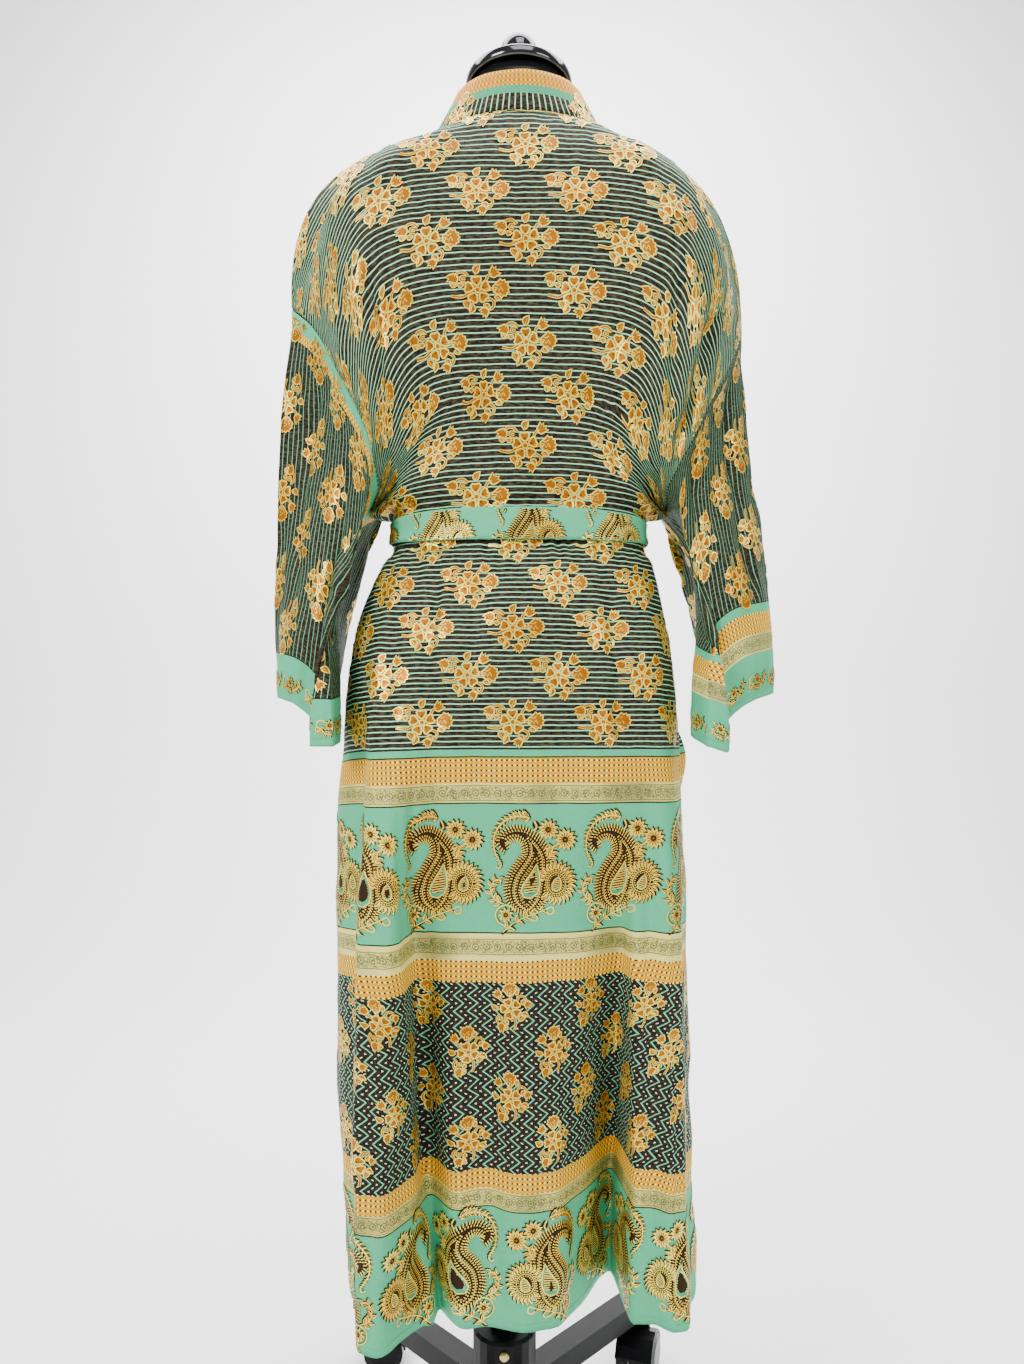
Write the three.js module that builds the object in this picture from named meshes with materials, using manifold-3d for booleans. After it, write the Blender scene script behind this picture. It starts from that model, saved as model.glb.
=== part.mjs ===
// Kimono robe on a limbless dress form with a rolling stand. Millimetres, Z up.
// The back of the robe faces -Y, +X is the wearer's right, the floor is z = 0.
import * as THREE from "three";
import Module from "manifold-3d";

const wasm = await Module();
wasm.setup();

// Cloth
const WALL = 1.6; // thickness of the cloth wall
const SEAM_GAP = 0.3; // air between two sewn pieces
const BAND_GAP = 0.45; // the neckband's own distance from the front seam line
const SHOULDER_Z = 1480; // level of the shoulder line at the neck
const UNDERARM_Z = 1160; // level, at the centre back, of the row that meets the underarm
const HEM_Z = 222;
const NECK_HALF_WIDTH = 94; // half the width of the neck opening
const NECK_BACK = 70; // how far the neck opening reaches back
const BAND_WIDTH = 44; // neckband, seam to edge
const LAP_GAP = 6.5; // how far the left front lies behind the right front
const ROW_SAMPLES = 220; // fine steps in which a row is measured before it is divided evenly

// Mesh density
const BACK_COLUMNS = 37;
const FRONT_COLUMNS = 16;
const BAND_COLUMNS = 2;
const SLEEVE_ALONG = 8;
const BELT_AROUND = 36;

// Belt
const BELT_LOW = 1017;
const BELT_HIGH = 1050;
const BELT_ROWS = 2;
const BELT_SIDE_PINCH = 0.3; // part of its width that the belt loses at the sides
const KNOT = { x: 6, z: 1032, halfWidth: 24, halfDepth: 12, halfHeight: 21 };
const TAIL_TURN = 2.4; // doubled cloth of the hanging ends
const TAIL_OFF = 0.8; // air between a hanging end and the front under it
const TAIL_LIFT = 6; // how far a hanging end stands off under the knot
const BELT_OFF = 3.1; // belt's outer face over the cloth under it

// Stand
const STAND_X = -16; // the pole stands a little to the wearer's left of the robe's middle
const POLE_RADIUS = 12.5;
const POLE_LOW = 70;
const POLE_TOP = 780;
const HUB = { radius: 35, low: 48, high: 158, floor: 8, chamfer: 3 };
const COLLAR = { radius: 16.5, height: 6 };
const SCREW = { z: 146, radius: 5, head: 4.5 };
const LEG = { reach: 262, width: 29, height: 26, low: 67 };
const CASTOR_REACH = 246;
const WHEEL = { radius: 25, width: 17, span: 50, axle: 4, trail: 20 };
const HOOD = { clear: 1.6, wall: 2.6, web: 11, width: 46 };
const STEM = { radius: 5.5, top: 66.6 };

// Neck fittings, in a frame tilted forward
const NECK_TILT = THREE.MathUtils.degToRad(10);
const PLATE = { z: 1521, radius: 59.3, height: 13, round: 4 };
const BALL = { radius: 21, centre: 52, stem: 9 };

// Rows of a table under named columns.
function table(columns, ...rows) {
  return rows.map((row) => Object.fromEntries(columns.map((name, i) => [name, row[i]])));
}

// Armhole seams from the shoulder (u 0) to the underarm (u 1), a row per seam point: how far
// out sideways, how far out to the back and to the front, and the height, on each side.
const ARMHOLE = [
  { u: 0.0, xl: 252, yl: 0, zl: 1284, xr: 247, yr: 0, zr: 1254 },
  { u: 0.18, xl: 221, yl: 36, zl: 1250, xr: 226, yr: 34, zr: 1208 },
  { u: 0.4, xl: 189, yl: 66, zl: 1192, xr: 199, yr: 62, zr: 1160 },
  { u: 0.58, xl: 165, yl: 80, zl: 1146, xr: 178, yr: 76, zr: 1118 },
  { u: 0.73, xl: 153, yl: 80, zl: 1112, xr: 164, yr: 73, zr: 1092 },
  { u: 0.88, xl: 149, yl: 52, zl: 1080, xr: 156, yr: 48, zr: 1072 },
  { u: 1.0, xl: 164, yl: 0, zl: 1060, xr: 163, yr: 0, zr: 1060 },
];

// Rows of the body above the underarm: centre depth at back and front, then the point where a
// row turns down over the shoulder, and how far level a row leaves the centre.
const YOKE = [
  { z: 1480, back: 0, front: 0, kxl: 260, kxr: 246, kBack: 0, kFront: 0, kz: -49, reach: 0.68 },
  { z: 1464, back: 70, front: 50, kxl: 212, kxr: 234, kBack: 26, kFront: 24, kz: -55, reach: 0.44 },
  { z: 1440, back: 83, front: 78, kxl: 218, kxr: 222, kBack: 60, kFront: 52, kz: -23, reach: 0.65 },
  { z: 1400, back: 97, front: 102, kxl: 212, kxr: 219, kBack: 93, kFront: 84, kz: -1, reach: 0.74 },
  { z: 1330, back: 106, front: 119, kxl: 187, kxr: 198, kBack: 110, kFront: 108, kz: 0, reach: 0.75 },
  { z: 1250, back: 103, front: 122, kxl: 151, kxr: 161, kBack: 116, kFront: 116, kz: -34, reach: 0.78 },
  { z: 1190, back: 96, front: 111, kxl: 118, kxr: 125, kBack: 99, kFront: 106, kz: -72, reach: 0.74 },
  { z: 1160, back: 91, front: 103, kxl: 112, kxr: 112, kBack: 88, kFront: 96, kz: -78, reach: 0.72 },
];

// Rows of the body from the underarm to the hem: half widths, centre depths, how far the row
// hangs lower at its sides, how square its plan is, where it turns sideways and sinks, and how
// far level it leaves the centre.
const SKIRT = table(
  ["z", "left", "right", "back", "front", "fall", "rise", "square", "turn", "sink", "reach"],
  [1160, 164, 163, 91, 103, 100, 100, 0.967, 0.683, 0.78, 0.72],
  [1120, 166, 165, 87, 95, 66, 66, 0.93, 0.75, 0.74, 0.72],
  [1080, 155, 156, 84, 88, 31, 31, 0.8, 0.92, 0.5, 0.66],
  [1054, 138, 138, 82, 82, 9, 9, 0.64, 1.02, 0.12, 0.58],
  [1034, 137, 137, 81, 80, 1, 1, 0.6, 1.03, 0.1, 0.58],
  [1014, 139, 139, 82, 81, 1, 1, 0.6, 1.03, 0.1, 0.58],
  [1002, 150, 146, 90, 88, 3, 2, 0.6, 1.03, 0.1, 0.58],
  [976, 163, 154, 100, 96, 6, 4, 0.6, 1.03, 0.1, 0.58],
  [948, 174, 160, 109, 102, 10, 5, 0.6, 1.03, 0.1, 0.58],
  [915, 182, 165, 117, 107, 14, 6, 0.62, 1.03, 0.1, 0.59],
  [870, 187, 170, 122, 110, 17, 7, 0.66, 1.03, 0.1, 0.6],
  [800, 193, 174, 124, 111, 19, 8, 0.72, 1.03, 0.1, 0.63],
  [728, 197, 177, 121, 111, 19, 8, 0.78, 1.03, 0.1, 0.65],
  [600, 197, 181, 117, 111, 16, 7, 0.86, 1.03, 0.1, 0.68],
  [460, 196, 184, 113, 112, 12, 5, 0.9, 1.03, 0.1, 0.7],
  [340, 190, 187, 110, 113, 6, 3, 0.92, 1.03, 0.1, 0.71],
  [HEM_Z, 185, 190, 107, 114, 0, 0, 0.92, 1.03, 0.1, 0.71],
);

// Folds of the skirt: a flat-topped ridge (out > 0) or trough (out < 0) between two edges whose
// x runs from the fold's top to the hem; sideLeft and sideRight are the widths of its slopes.
const BACK_FOLDS = table(
  ["top", "full", "from", "to", "from2", "to2", "sideLeft", "sideRight", "out"],
  [960, 560, -146, -158, -120, -140, 11, 46, 60],
  [800, 480, -124, -84, -124, -84, 5, 34, -30],
  [790, 222, 104, 100, 104, 100, 62, 15, -96],
  [900, 520, 152, 160, 156, 168, 34, 10, 32],
  [700, 300, -8, 2, -4, 6, 40, 46, 7],
);
const FRONT_FOLDS = table(
  ["top", "full", "from", "to", "from2", "to2", "sideLeft", "sideRight", "out"],
  [960, 540, -138, -146, -116, -118, 14, 30, 34],
  [840, 380, -108, -104, -106, -102, 20, 20, -24],
  [760, 300, 14, 22, 22, 32, 34, 30, 12],
  [820, 340, 104, 106, 106, 108, 24, 24, -28],
  [940, 520, 128, 130, 144, 150, 30, 13, 28],
);
// Side swells of the fronts: sideways bulges beside the side seams.
const FRONT_SWELLS = [
  { side: 1, z: 790, tall: 74, y: 34, deep: 30, out: 20 },
  { side: -1, z: 640, tall: 150, y: 40, deep: 34, out: 7 },
];

// The seam between each front and the neckband, as its distance from the middle of the body,
// positive on the front's own side.
const FRONT_SEAM = [
  { z: 1480, x: 94 },
  { z: 1400, x: 82 },
  { z: 1300, x: 63 },
  { z: 1200, x: 38 },
  { z: 1100, x: 4 },
  { z: 1034, x: -24 },
  { z: 860, x: -36 },
  { z: HEM_Z, x: -47 },
];

// Cuff rings: w runs once round from the underarm seam over the back, the top and the front.
const LEFT_CUFF = [
  { w: 0.0, x: -185, y: -122, z: 806 },
  { w: 0.1, x: -208, y: -119, z: 806 },
  { w: 0.18, x: -213, y: -76, z: 826 },
  { w: 0.28, x: -238, y: -62, z: 848 },
  { w: 0.4, x: -262, y: -22, z: 854 },
  { w: 0.52, x: -267.5, y: 36, z: 856 },
  { w: 0.65, x: -252, y: 100, z: 852 },
  { w: 0.74, x: -226, y: 118, z: 846 },
  { w: 0.85, x: -212, y: 56, z: 832 },
  { w: 0.93, x: -203, y: -16, z: 820 },
  { w: 0.98, x: -183, y: -84, z: 808 },
  { w: 1.0, x: -185, y: -122, z: 806 },
];
const RIGHT_CUFF = [
  { w: 0.0, x: 186, y: -122, z: 806 },
  { w: 0.08, x: 206, y: -120, z: 800 },
  { w: 0.16, x: 213, y: -80, z: 826 },
  { w: 0.27, x: 244, y: -64, z: 850 },
  { w: 0.4, x: 276, y: -26, z: 858 },
  { w: 0.52, x: 282.5, y: 30, z: 861 },
  { w: 0.65, x: 268, y: 94, z: 860 },
  { w: 0.74, x: 240, y: 116, z: 854 },
  { w: 0.85, x: 218, y: 56, z: 840 },
  { w: 0.93, x: 203, y: -14, z: 826 },
  { w: 0.98, x: 176, y: -84, z: 814 },
  { w: 1.0, x: 186, y: -122, z: 806 },
];
const SLEEVE_PULL = 0.36; // length of the sleeve's curve handles, as a part of its span
const SLEEVE_SPREAD = 0.62; // how far the sleeve leaves the underarm sideways

// Dress form: half width, depth to the back and depth to the front at each height.
const TORSO = [
  { z: 722, half: 148, back: 96, front: 80 },
  { z: 730, half: 155, back: 103, front: 86 },
  { z: 800, half: 164, back: 112, front: 92 },
  { z: 870, half: 161, back: 113, front: 93 },
  { z: 930, half: 148, back: 99, front: 84 },
  { z: 980, half: 133, back: 84, front: 74 },
  { z: 1034, half: 124, back: 74, front: 67 },
  { z: 1090, half: 125, back: 75, front: 71 },
  { z: 1150, half: 136, back: 82, front: 85 },
  { z: 1220, half: 147, back: 91, front: 103 },
  { z: 1290, half: 160, back: 97, front: 105 },
  { z: 1340, half: 175, back: 93, front: 92 },
  { z: 1375, half: 185, back: 87, front: 87 },
  { z: 1400, half: 182.1, back: 90, front: 89.2 },
  { z: 1418, half: 159.4, back: 82, front: 79.8 },
  { z: 1434, half: 131, back: 70.5, front: 69.5 },
  { z: 1450, half: 97, back: 59, front: 59 },
  { z: 1468, half: 66, back: 51, front: 51 },
  { z: 1495, half: 55, back: 50, front: 50 },
  { z: 1520.6, half: 53, back: 50, front: 50 },
];
const TORSO_AROUND = 20;
const TORSO_ROUND = 2.25; // exponent of the form's oval sections

// Castors: angle of the leg and heading of the wheels, in degrees.
const CASTORS = [
  { name: "front_right", leg: 45, yaw: -20 },
  { name: "front_left", leg: 135, yaw: 90 },
  { name: "back_left", leg: 225, yaw: 75 },
  { name: "back_right", leg: 315, yaw: 100 },
];

const material = (color, roughness, metalness = 0) =>
  new THREE.MeshStandardMaterial({ color, roughness, metalness });

const PAINT = {
  cloth: () => material(0x687059, 0.75),
  trim: () => material(0x79c49f, 0.7),
  gold: () => material(0xe0bd58, 0.65),
  black: () => material(0x0c0c0e, 0.35),
  chrome: () => material(0xd8dade, 0.12, 1),
  steel: () => material(0x15151a, 0.45, 0.6),
  brass: () => material(0xc9a24a, 0.3, 1),
  wheel: () => material(0x1a1a1c, 0.6),
};

const mix = (a, b, t) => a + (b - a) * t;
const clamp01 = (t) => Math.min(1, Math.max(0, t));
const ease = (t) => clamp01(t) ** 2 * (3 - 2 * clamp01(t));

// A table read at any value of its key column, all other columns by a monotone cubic.
function read(table, key, value) {
  const down = table[0][key] > table[table.length - 1][key];
  const rows = down ? [...table].reverse() : table;
  const v = Math.min(rows[rows.length - 1][key], Math.max(rows[0][key], value));
  let i = 0;
  while (i < rows.length - 2 && v > rows[i + 1][key]) i += 1;
  const span = rows[i + 1][key] - rows[i][key];
  const t = (v - rows[i][key]) / span;
  const out = {};
  for (const column of Object.keys(rows[0])) {
    const slope = (a, b) => (rows[b][column] - rows[a][column]) / (rows[b][key] - rows[a][key]);
    const here = slope(i, i + 1);
    const bend = (near, far) => (near * far <= 0 ? 0 : (2 * near * far) / (near + far));
    const m0 = i > 0 ? bend(slope(i - 1, i), here) : here;
    const m1 = i < rows.length - 2 ? bend(here, slope(i + 1, i + 2)) : here;
    const rest = (t - 1) ** 2;
    out[column] =
      rows[i][column] * (1 + 2 * t) * rest +
      m0 * span * t * rest +
      rows[i + 1][column] * t * t * (3 - 2 * t) +
      m1 * span * t * t * (t - 1);
  }
  out[key] = v;
  return out;
}

function bezier(a, b, c, d, t) {
  const r = 1 - t;
  const at = (k) => r ** 3 * a[k] + 3 * r * r * t * b[k] + 3 * r * t * t * c[k] + t ** 3 * d[k];
  return new THREE.Vector3(at("x"), at("y"), at("z"));
}

// A measured line: points with the length run so far, readable at any part of its length.
class Line {
  constructor(points) {
    this.points = points;
    this.run = [0];
    for (let i = 1; i < points.length; i += 1) {
      this.run.push(this.run[i - 1] + points[i].distanceTo(points[i - 1]));
    }
    this.length = this.run[this.run.length - 1];
  }

  at(length) {
    const want = Math.min(this.length, Math.max(0, length));
    let i = 1;
    while (i < this.run.length - 1 && this.run[i] < want) i += 1;
    const t = (want - this.run[i - 1]) / Math.max(1e-9, this.run[i] - this.run[i - 1]);
    return this.points[i - 1].clone().lerp(this.points[i], t);
  }

  // Length at which the line first passes the given x; lines run from left to right.
  lengthAtX(x) {
    for (let i = 1; i < this.points.length; i += 1) {
      if (this.points[i].x >= x) {
        const t = (x - this.points[i - 1].x) / (this.points[i].x - this.points[i - 1].x);
        return mix(this.run[i - 1], this.run[i], clamp01(t));
      }
    }
    return this.length;
  }
}

function armholePoint(u, side, face) {
  const row = read(ARMHOLE, "u", u);
  return side < 0
    ? new THREE.Vector3(-row.xl, face * row.yl, row.zl)
    : new THREE.Vector3(row.xr, face * row.yr, row.zr);
}

// Control points of half a row: centre, level handle, turning point and edge.
function halfRow(level, side, face) {
  const high = level > UNDERARM_Z;
  const row = high ? read(YOKE, "z", level) : read(SKIRT, "z", level);
  const depth = face * (face < 0 ? row.back : row.front);
  const centre = new THREE.Vector3(0, depth, level);
  if (high) {
    const edge = armholePoint((SHOULDER_Z - level) / (SHOULDER_Z - UNDERARM_Z), side, face);
    const kx = side < 0 ? -row.kxl : row.kxr;
    const turn = new THREE.Vector3(kx, face * (face < 0 ? row.kBack : row.kFront), level + row.kz);
    return [centre, new THREE.Vector3(kx * row.reach, depth, level), turn, edge];
  }
  const x = side < 0 ? -row.left : row.right;
  const fall = side < 0 ? row.fall : row.rise;
  const turn = new THREE.Vector3(x * row.turn, depth * row.square, level - fall * row.sink);
  const handle = new THREE.Vector3(x * row.turn * row.reach, depth, level);
  return [centre, handle, turn, new THREE.Vector3(x, 0, level - fall)];
}

function foldOut(folds, level, x) {
  let out = 0;
  for (const fold of folds) {
    const grown = ease((fold.top - level) / (fold.top - fold.full));
    if (grown > 0) {
      const down = clamp01((fold.top - level) / (fold.top - HEM_Z));
      const low = mix(fold.from, fold.to, down);
      const high = mix(fold.from2, fold.to2, down);
      const left = ease((x - low + fold.sideLeft) / fold.sideLeft);
      const right = ease((high + fold.sideRight - x) / fold.sideRight);
      out += fold.out * grown * left * right;
    }
  }
  return out;
}

function swellOut(level, point) {
  let out = 0;
  for (const swell of FRONT_SWELLS) {
    const near = point.x * swell.side > 0 ? 1 : 0;
    const tall = ease(1 - Math.abs(level - swell.z) / swell.tall);
    const deep = ease(1 - Math.abs(point.y - swell.y) / swell.deep);
    out += near * swell.side * swell.out * tall * deep;
  }
  return out;
}

// A whole row of the back (face -1) or the front (face 1), from the left edge to the right.
const rowStore = new Map();
function bodyRow(level, face) {
  const name = `${face}:${level.toFixed(4)}`;
  if (rowStore.has(name)) return rowStore.get(name);
  const left = halfRow(level, -1, face);
  const right = halfRow(level, 1, face);
  const points = [];
  for (let i = 0; i <= ROW_SAMPLES; i += 1) {
    const t = (2 * i) / ROW_SAMPLES - 1;
    points.push(bezier(...(t < 0 ? left : right), Math.abs(t)));
  }
  const folds = face < 0 ? BACK_FOLDS : FRONT_FOLDS;
  for (const point of points) {
    const loose = ease(Math.abs(point.y) / 30);
    const lift = foldOut(folds, level, point.x) * loose;
    if (face > 0) point.x += swellOut(level, point);
    point.y += face * lift;
  }
  const line = new Line(points);
  rowStore.set(name, line);
  return line;
}

// Outward directions of a grid of points, by its neighbours.
function gridNormals(grid, ring) {
  const rows = grid.length;
  const columns = grid[0].length;
  return grid.map((line, i) =>
    line.map((_, j) => {
      const before = ring ? (j + columns - 1) % columns : Math.max(0, j - 1);
      const after = ring ? (j + 1) % columns : Math.min(columns - 1, j + 1);
      const across = line[after].clone().sub(line[before]);
      const along = grid[Math.min(rows - 1, i + 1)][j].clone().sub(grid[Math.max(0, i - 1)][j]);
      return along.cross(across).normalize();
    })
  );
}

// A closed wall on a grid of points. Its plain side lies `thickness` against the normals.
function wall(grid, thickness, ring = false, normals = gridNormals(grid, ring)) {
  const inner = grid.map((line, i) =>
    line.map((point, j) => point.clone().addScaledVector(normals[i][j], -thickness))
  );
  const rows = grid.length;
  const columns = grid[0].length;
  const positions = [];
  for (const layer of [grid, inner]) {
    for (const line of layer) for (const point of line) positions.push(point.x, point.y, point.z);
  }
  const id = (layer, i, j) => layer * rows * columns + i * columns + (j % columns);
  const index = [];
  const quad = (a, b, c, d) => index.push(a, c, b, a, d, c);
  const last = ring ? columns : columns - 1;
  for (let i = 0; i < rows - 1; i += 1) {
    for (let j = 0; j < last; j += 1) {
      quad(id(0, i, j), id(0, i, j + 1), id(0, i + 1, j + 1), id(0, i + 1, j));
      quad(id(1, i, j), id(1, i + 1, j), id(1, i + 1, j + 1), id(1, i, j + 1));
    }
  }
  for (let j = 0; j < last; j += 1) {
    quad(id(0, 0, j), id(1, 0, j), id(1, 0, j + 1), id(0, 0, j + 1));
    quad(id(0, rows - 1, j), id(0, rows - 1, j + 1), id(1, rows - 1, j + 1), id(1, rows - 1, j));
  }
  if (!ring) {
    for (let i = 0; i < rows - 1; i += 1) {
      quad(id(0, i, 0), id(0, i + 1, 0), id(1, i + 1, 0), id(1, i, 0));
      quad(id(0, i, last), id(1, i, last), id(1, i + 1, last), id(0, i + 1, last));
    }
  }
  const geometry = new THREE.BufferGeometry();
  geometry.setAttribute("position", new THREE.Float32BufferAttribute(positions, 3));
  geometry.setIndex(index);
  return facetted(geometry);
}

// Wall directions at the edges of a panel. At the shoulder line and the side seams they lie in
// the plane between back and front, and at an armhole they are shared with the sleeve.
function seatPanel(normals, face, sides) {
  normals.forEach((line, i) => {
    if (i === 0) line.forEach((normal) => normal.setY(0).normalize());
    for (const [side, j] of sides) {
      if (LEVELS[i] >= UNDERARM_Z) line[j].copy(sharedSeam(side)[seamStation(i, face)]);
      else line[j].setY(0).normalize();
    }
  });
  return normals;
}

function facetted(geometry) {
  const flat = geometry.index ? geometry.toNonIndexed() : geometry;
  flat.computeVertexNormals();
  return flat;
}

function solidMesh(name, geometry, paint) {
  const mesh = new THREE.Mesh(geometry, paint());
  mesh.name = name;
  return mesh;
}

// Levels of the body's rows from the shoulder to the hem, closer where the form turns.
const LEVELS = [
  SHOULDER_Z, 1468, 1446, 1412, 1372, 1328, 1284, 1240, 1200, UNDERARM_Z, 1124, 1086, 1062, BELT_HIGH + 0.5,
  (BELT_LOW + BELT_HIGH) / 2, BELT_LOW - 0.5, 1003, 980, 944, 896, 836, 768, 700, 624, 544, 464, 384,
  304, HEM_Z,
];

// Level at which the back's rows meet the neck seam, for a column x from the middle.
function neckLevel(x) {
  const part = 1 - (x / NECK_HALF_WIDTH) ** 2;
  if (part <= 0) return SHOULDER_Z;
  const want = -NECK_BACK * Math.sqrt(part);
  let low = SHOULDER_Z - 40;
  let high = SHOULDER_Z;
  for (let i = 0; i < 24; i += 1) {
    const level = (low + high) / 2;
    const line = bodyRow(level, -1);
    const y = line.at(line.lengthAtX(x)).y;
    if (y < want) low = level;
    else high = level;
  }
  return high;
}

// Upper rows are squeezed under the neck opening and follow it less and less down the back.
function sunkLevel(level, start) {
  const settle = 1380;
  if (level <= settle) return level;
  return mix(settle, start, (level - settle) / (SHOULDER_Z - settle));
}

function backGrid() {
  const top = bodyRow(SHOULDER_Z, -1);
  const starts = [];
  for (let j = 0; j <= BACK_COLUMNS; j += 1) {
    const x = top.at((j / BACK_COLUMNS) * top.length).x;
    starts.push(neckLevel(x));
  }
  const grid = LEVELS.map((level) =>
    starts.map((start, j) => {
      const row = bodyRow(sunkLevel(level, start), -1);
      const part = j / BACK_COLUMNS;
      return row.at(mix(SEAM_GAP, row.length - SEAM_GAP, part));
    })
  );
  grid[0].forEach((point) => (point.y -= SEAM_GAP));
  return grid;
}

function backPanel() {
  const grid = backGrid();
  const normals = seatPanel(gridNormals(grid), -1, [[-1, 0], [1, BACK_COLUMNS]]);
  return solidMesh("back_panel", wall(grid, WALL, false, normals), PAINT.cloth);
}

const seamX = (level) => read(FRONT_SEAM, "z", level).x;

// Outward direction of a front or back row in plan, at a length along it.
function rowNormal(row, length, face) {
  const along = row.at(length + 3).sub(row.at(length - 3));
  return new THREE.Vector3(along.y * -face, along.x * face, 0).normalize();
}

// How far the left front lies behind the right one: nothing at its side seam, all of it
// where the fronts lap.
function lapDepth(row, length, side) {
  if (side > 0) return 0;
  const point = row.at(length);
  return LAP_GAP * ease((point.x + 150) / 60) * ease((1330 - point.z) / 80);
}

function onFront(level, length, side) {
  const row = bodyRow(level, 1);
  const point = row.at(length);
  return point.addScaledVector(rowNormal(row, length, 1), -lapDepth(row, length, side));
}

function frontGrid(side) {
  const grid = LEVELS.map((level) => {
    const row = bodyRow(level, 1);
    const seam = row.lengthAtX(side * seamX(level)) + side * SEAM_GAP;
    const edge = side > 0 ? row.length - SEAM_GAP : SEAM_GAP;
    const line = [];
    for (let j = 0; j <= FRONT_COLUMNS; j += 1) {
      line.push(onFront(level, mix(seam, edge, j / FRONT_COLUMNS), side));
    }
    return side > 0 ? line.reverse() : line;
  });
  grid[0].forEach((point) => (point.y += SEAM_GAP));
  return grid;
}

function frontPanel(side) {
  const grid = frontGrid(side);
  const normals = seatPanel(gridNormals(grid), 1, [[side, side > 0 ? 0 : FRONT_COLUMNS]]);
  const name = side > 0 ? "right_front" : "left_front";
  return solidMesh(name, wall(grid, WALL, false, normals), PAINT.cloth);
}

// Cross lines of the neckband on one front, from the hem to the shoulder. Near the neck the
// band leaves the chest and stands up beside the neck.
function bandOnFront(side) {
  const lines = [];
  const standing = new THREE.Vector3(-side * 24, 0, 38).normalize();
  for (const level of [...LEVELS].reverse()) {
    const row = bodyRow(level, 1);
    const seam = row.lengthAtX(side * seamX(level)) - side * BAND_GAP;
    const stand = ease((level - 1370) / (SHOULDER_Z - 1370));
    const line = [];
    for (let k = 0; k <= BAND_COLUMNS; k += 1) {
      const across = (k / BAND_COLUMNS) * BAND_WIDTH;
      const lying = onFront(level, seam - side * across, side);
      const root = onFront(level, seam, side);
      const up = root.clone().addScaledVector(standing, across);
      line.push(lying.lerp(up, stand));
    }
    lines.push(line);
  }
  return lines;
}

function bandRoundNeck() {
  const lines = [];
  const steps = 14;
  for (let i = 1; i < steps; i += 1) {
    const turn = (Math.PI * i) / steps;
    const c = Math.cos(turn);
    const s = Math.sin(turn);
    const row = bodyRow(neckLevel(NECK_HALF_WIDTH * c * 0.999), -1);
    const root = row.at(row.lengthAtX(NECK_HALF_WIDTH * c));
    root.z += 7 * SEAM_GAP;
    root.y += SEAM_GAP * s;
    const edge = new THREE.Vector3(70 * c, -66 * s, 1514 - 4 * s);
    const line = [];
    for (let k = 0; k <= BAND_COLUMNS; k += 1) {
      line.push(root.clone().lerp(edge, k / BAND_COLUMNS));
    }
    lines.push(line);
  }
  return lines;
}

function neckband() {
  const grid = [...bandOnFront(1), ...bandRoundNeck(), ...bandOnFront(-1).reverse()];
  return solidMesh("neckband", wall(grid.map((line) => [...line].reverse()), WALL), PAINT.gold);
}

// Sleeve: a tube whose lines curve from the armhole seam to the cuff ring.
function sleeveLine(side, w) {
  const face = w < 0.5 ? -1 : 1;
  const u = Math.abs(1 - 2 * w);
  const from = armholePoint(u, side, face);
  const cuff = read(side < 0 ? LEFT_CUFF : RIGHT_CUFF, "w", w);
  const to = new THREE.Vector3(cuff.x, cuff.y, cuff.z);
  const span = from.distanceTo(to) * SLEEVE_PULL;
  const row = halfRow(mix(SHOULDER_Z, UNDERARM_Z, u), side, face);
  const start = row[3].clone().sub(row[2]).normalize();
  const spread = ease((u - 0.72) / 0.28);
  start.lerp(new THREE.Vector3(side * SLEEVE_SPREAD, 0, -0.78), spread).normalize();
  from.addScaledVector(start, 4 * SEAM_GAP);
  return [from, from.clone().addScaledVector(start, span), to.clone().setZ(to.z + span), to];
}

// Stations round a sleeve, one at each seam point of the body: the underarm, up the back, the
// shoulder, down the front.
const SEAM_LEVELS = LEVELS.filter((level) => level >= UNDERARM_Z);
const SEAM_LAST = SEAM_LEVELS.length - 1;
const seamStation = (i, face) => (SEAM_LAST + face * i + 2 * SEAM_LAST) % (2 * SEAM_LAST);

function stationTurn(k) {
  const i = Math.abs(k - SEAM_LAST);
  const u = (SHOULDER_Z - SEAM_LEVELS[i]) / (SHOULDER_Z - UNDERARM_Z);
  return 0.5 + (Math.sign(k - SEAM_LAST) * u) / 2;
}

// Rings of a sleeve from the armhole to the cuff, with a line halfway between each two stations
// that starts on the straight seam between them.
function sleeveGrid(side) {
  const grid = [];
  for (let i = 0; i <= SLEEVE_ALONG; i += 1) {
    const t = i / SLEEVE_ALONG;
    const line = [];
    for (let k = 0; k < 2 * SEAM_LAST; k += 1) {
      const w = stationTurn(k);
      const next = stationTurn(k + 1);
      const here = bezier(...sleeveLine(side, w), t);
      const after = bezier(...sleeveLine(side, next % 1), t);
      const between = bezier(...sleeveLine(side, (w + next) / 2), t);
      line.push(here, here.clone().lerp(after, 0.5).lerp(between, ease(t * 4)));
    }
    grid.push(side < 0 ? line.reverse() : line);
  }
  return grid;
}

const sleeveColumn = (side, k) => (side < 0 ? 4 * SEAM_LAST - 1 - k : k);

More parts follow.
